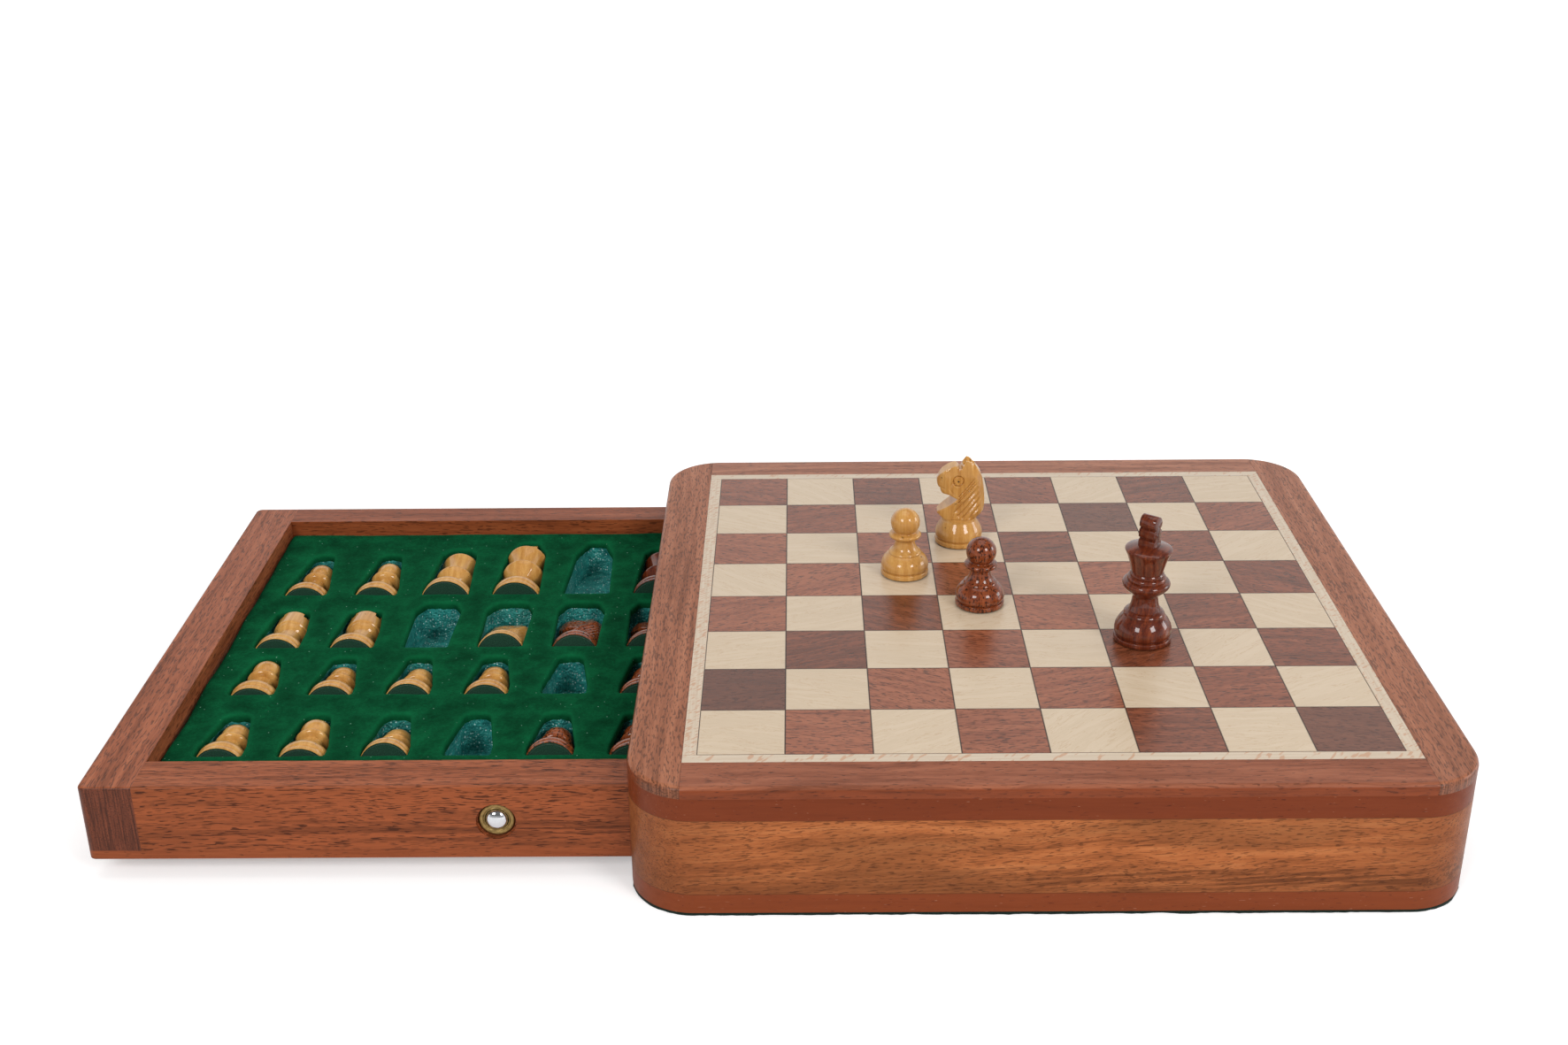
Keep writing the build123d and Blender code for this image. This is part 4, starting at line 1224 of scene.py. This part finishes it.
def foam_block():
    """The foam under the velvet: a closed block whose slots widen below the velvet's rolled edge."""
    sway, sway_scale = 0.16, 0.8
    tops = [slot_line(kind, x, y, *[inset - FOAM_LIP for inset in VELVET_OVERHANG]) for kind, x, y in slots]
    flat, faces, rings = triangulated([border_line(0.0, 0.0), *tops], [])
    points = [(spot.x, spot.y, FOAM_TOP) for spot in flat]
    for (kind, x, y), upper, top in zip(slots, rings[1:], tops):
        wide = slot_line(kind, x, y)
        for height, share in FOAM_LEVELS:
            level = []
            for narrow, broad in zip(top, wide):
                spot = narrow.lerp(broad, share)
                rough = roughness_at(spot, height, sway, sway_scale)
                level.append((spot.x + rough, spot.y - rough, height + 0.5 * rough))
            lower = add_ring(points, level)
            wall_between(faces, upper, lower)
            upper = lower
        faces.append(tuple(reversed(upper)))
    lower = add_ring(points, [(*points[i][:2], FOAM_BOTTOM) for i in rings[0]])
    wall_between(faces, lower, rings[0])
    faces.append(tuple(reversed(lower)))
    return mesh_object("foam_block", points, faces, [FOAM], sharp=70.0)


velvet = velvet_cover()
stand_in(velvet, "velvet_cover", "drawer")
foam = foam_block()
stand_in(foam, "foam_insert", "drawer")


# Felt under the casing, cut by hand, so its edge wanders

FELT_HALF_X, FELT_HALF_Y, FELT_CORNER = 126.9, 124.7, 20.0


def base_felt():
    corners = rectangle(-FELT_HALF_X, FELT_HALF_X, -FELT_HALF_Y, FELT_HALF_Y)
    line = []
    for spot in spaced(rounded_outline(corners, [FELT_CORNER] * 4, 10), 1.6):
        wander = 0.1 + ripple(spot.x, spot.y, 9.0, 0.5, 5.0) + ripple(spot.x, spot.y, 1.7, 0.25, 1.0)
        line.append(spot + spot.normalized() * wander)
    points, faces, rings = [], [], []
    for height, inset in ((0.0, 0.1), (0.25, -0.05), (0.7, 0.0), (1.0, 0.25)):
        level = []
        for spot in grown(line, -inset):
            fray = roughness_at(spot, height * 3, 0.12, 0.9)
            level.append((spot.x + fray, spot.y + fray, height))
        rings.append(add_ring(points, level))
    for lower, upper in zip(rings, rings[1:]):
        wall_between(faces, lower, upper)
    faces = [tuple(reversed(face)) for face in faces]
    faces.append(tuple(reversed(rings[0])))
    faces.append(tuple(rings[-1]))
    return mesh_object("base_felt_sheet", points, faces, [BASE_FELT], sharp=60.0)


felt = base_felt()
stand_in(felt, "base_felt", "casing")


# Floor, world and lamps

FLOOR_HALF = 6000.0
# How brightly the floor glows near the object and far from it, and between which distances that changes
FLOOR_GLOW, FLOOR_FADE = (0.34, 0.75), (500.0, 2500.0)
# The world's level for diffuse light, and for reflections of its ceiling
DIFFUSE_LEVEL, CEILING_LEVEL = 0.46, 0.16


def floor_material():
    s = new_material("pale_floor")
    path = s.add("LightPath").outputs
    seen = s.larger(s.larger(path["Is Camera Ray"], path["Is Glossy Ray"]), path["Is Transmission Ray"])
    glow = s.times(seen, s.step(s.length(s.place), *FLOOR_FADE, *FLOOR_GLOW))
    glow = s.times(glow, s.step(path["Is Camera Ray"], 0.0, 1.0, 0.3, 1.0))
    return s.finish(Base_Color=(0.86, 0.86, 0.86), Roughness=0.9, Specular_IOR_Level=0.0,
                    Emission_Color=(1.0, 1.0, 1.0), Emission_Strength=glow)


floor_corners = [(*corner, 0) for corner in rectangle(-FLOOR_HALF, FLOOR_HALF, -FLOOR_HALF, FLOOR_HALF)]
floor = mesh_object("floor", floor_corners, [(0, 1, 2, 3)], [floor_material()])


def studio_world():
    """White where the camera looks. Shiny things see it too, under a darker ceiling."""
    world = bpy.data.worlds.new("studio")
    s = Shader(world, "Background")
    path = s.add("LightPath").outputs
    y, z = s.split(s.direction)[1:]
    low = s.times(s.step(z, 0.36, 0.16), s.step(y, -0.75, -0.25, 0.35, 1.0))
    behind = s.times(s.step(y, 0.1, 0.6), s.step(z, 0.72, 0.5))
    shown = s.step(s.larger(low, behind), 0.0, 1.0, CEILING_LEVEL, 1.0)
    mirrored = s.larger(path["Is Glossy Ray"], path["Is Transmission Ray"])
    level = s.plus(s.times(mirrored, shown), path["Is Camera Ray"])
    plain = s.minus(1.0, s.larger(mirrored, path["Is Camera Ray"]))
    s.finish(Color=(1.0, 1.0, 1.0), Strength=s.plus(level, s.times(plain, DIFFUSE_LEVEL)))
    bpy.context.scene.world = world


studio_world()

AIM = Vector((-0.05, 0.0, 0.03))


def softbox(name, place, size, power):
    lamp = bpy.data.lights.new(name, "AREA")
    lamp.shape = "SQUARE"
    lamp.size = size
    lamp.energy = power
    holder = linked(name, lamp)
    holder.location = place
    holder.rotation_euler = (AIM - Vector(place)).to_track_quat("-Z", "Y").to_euler()


softbox("front_left_box", (-0.76, -1.14, 0.9), 0.46, 8.5)
softbox("front_right_box", (0.82, -1.08, 0.88), 0.46, 9.5)
softbox("right_box", (1.6, 0.2, 0.42), 0.5, 5.0)
softbox("top_box", (0.0, 0.15, 1.7), 1.4, 7.0)
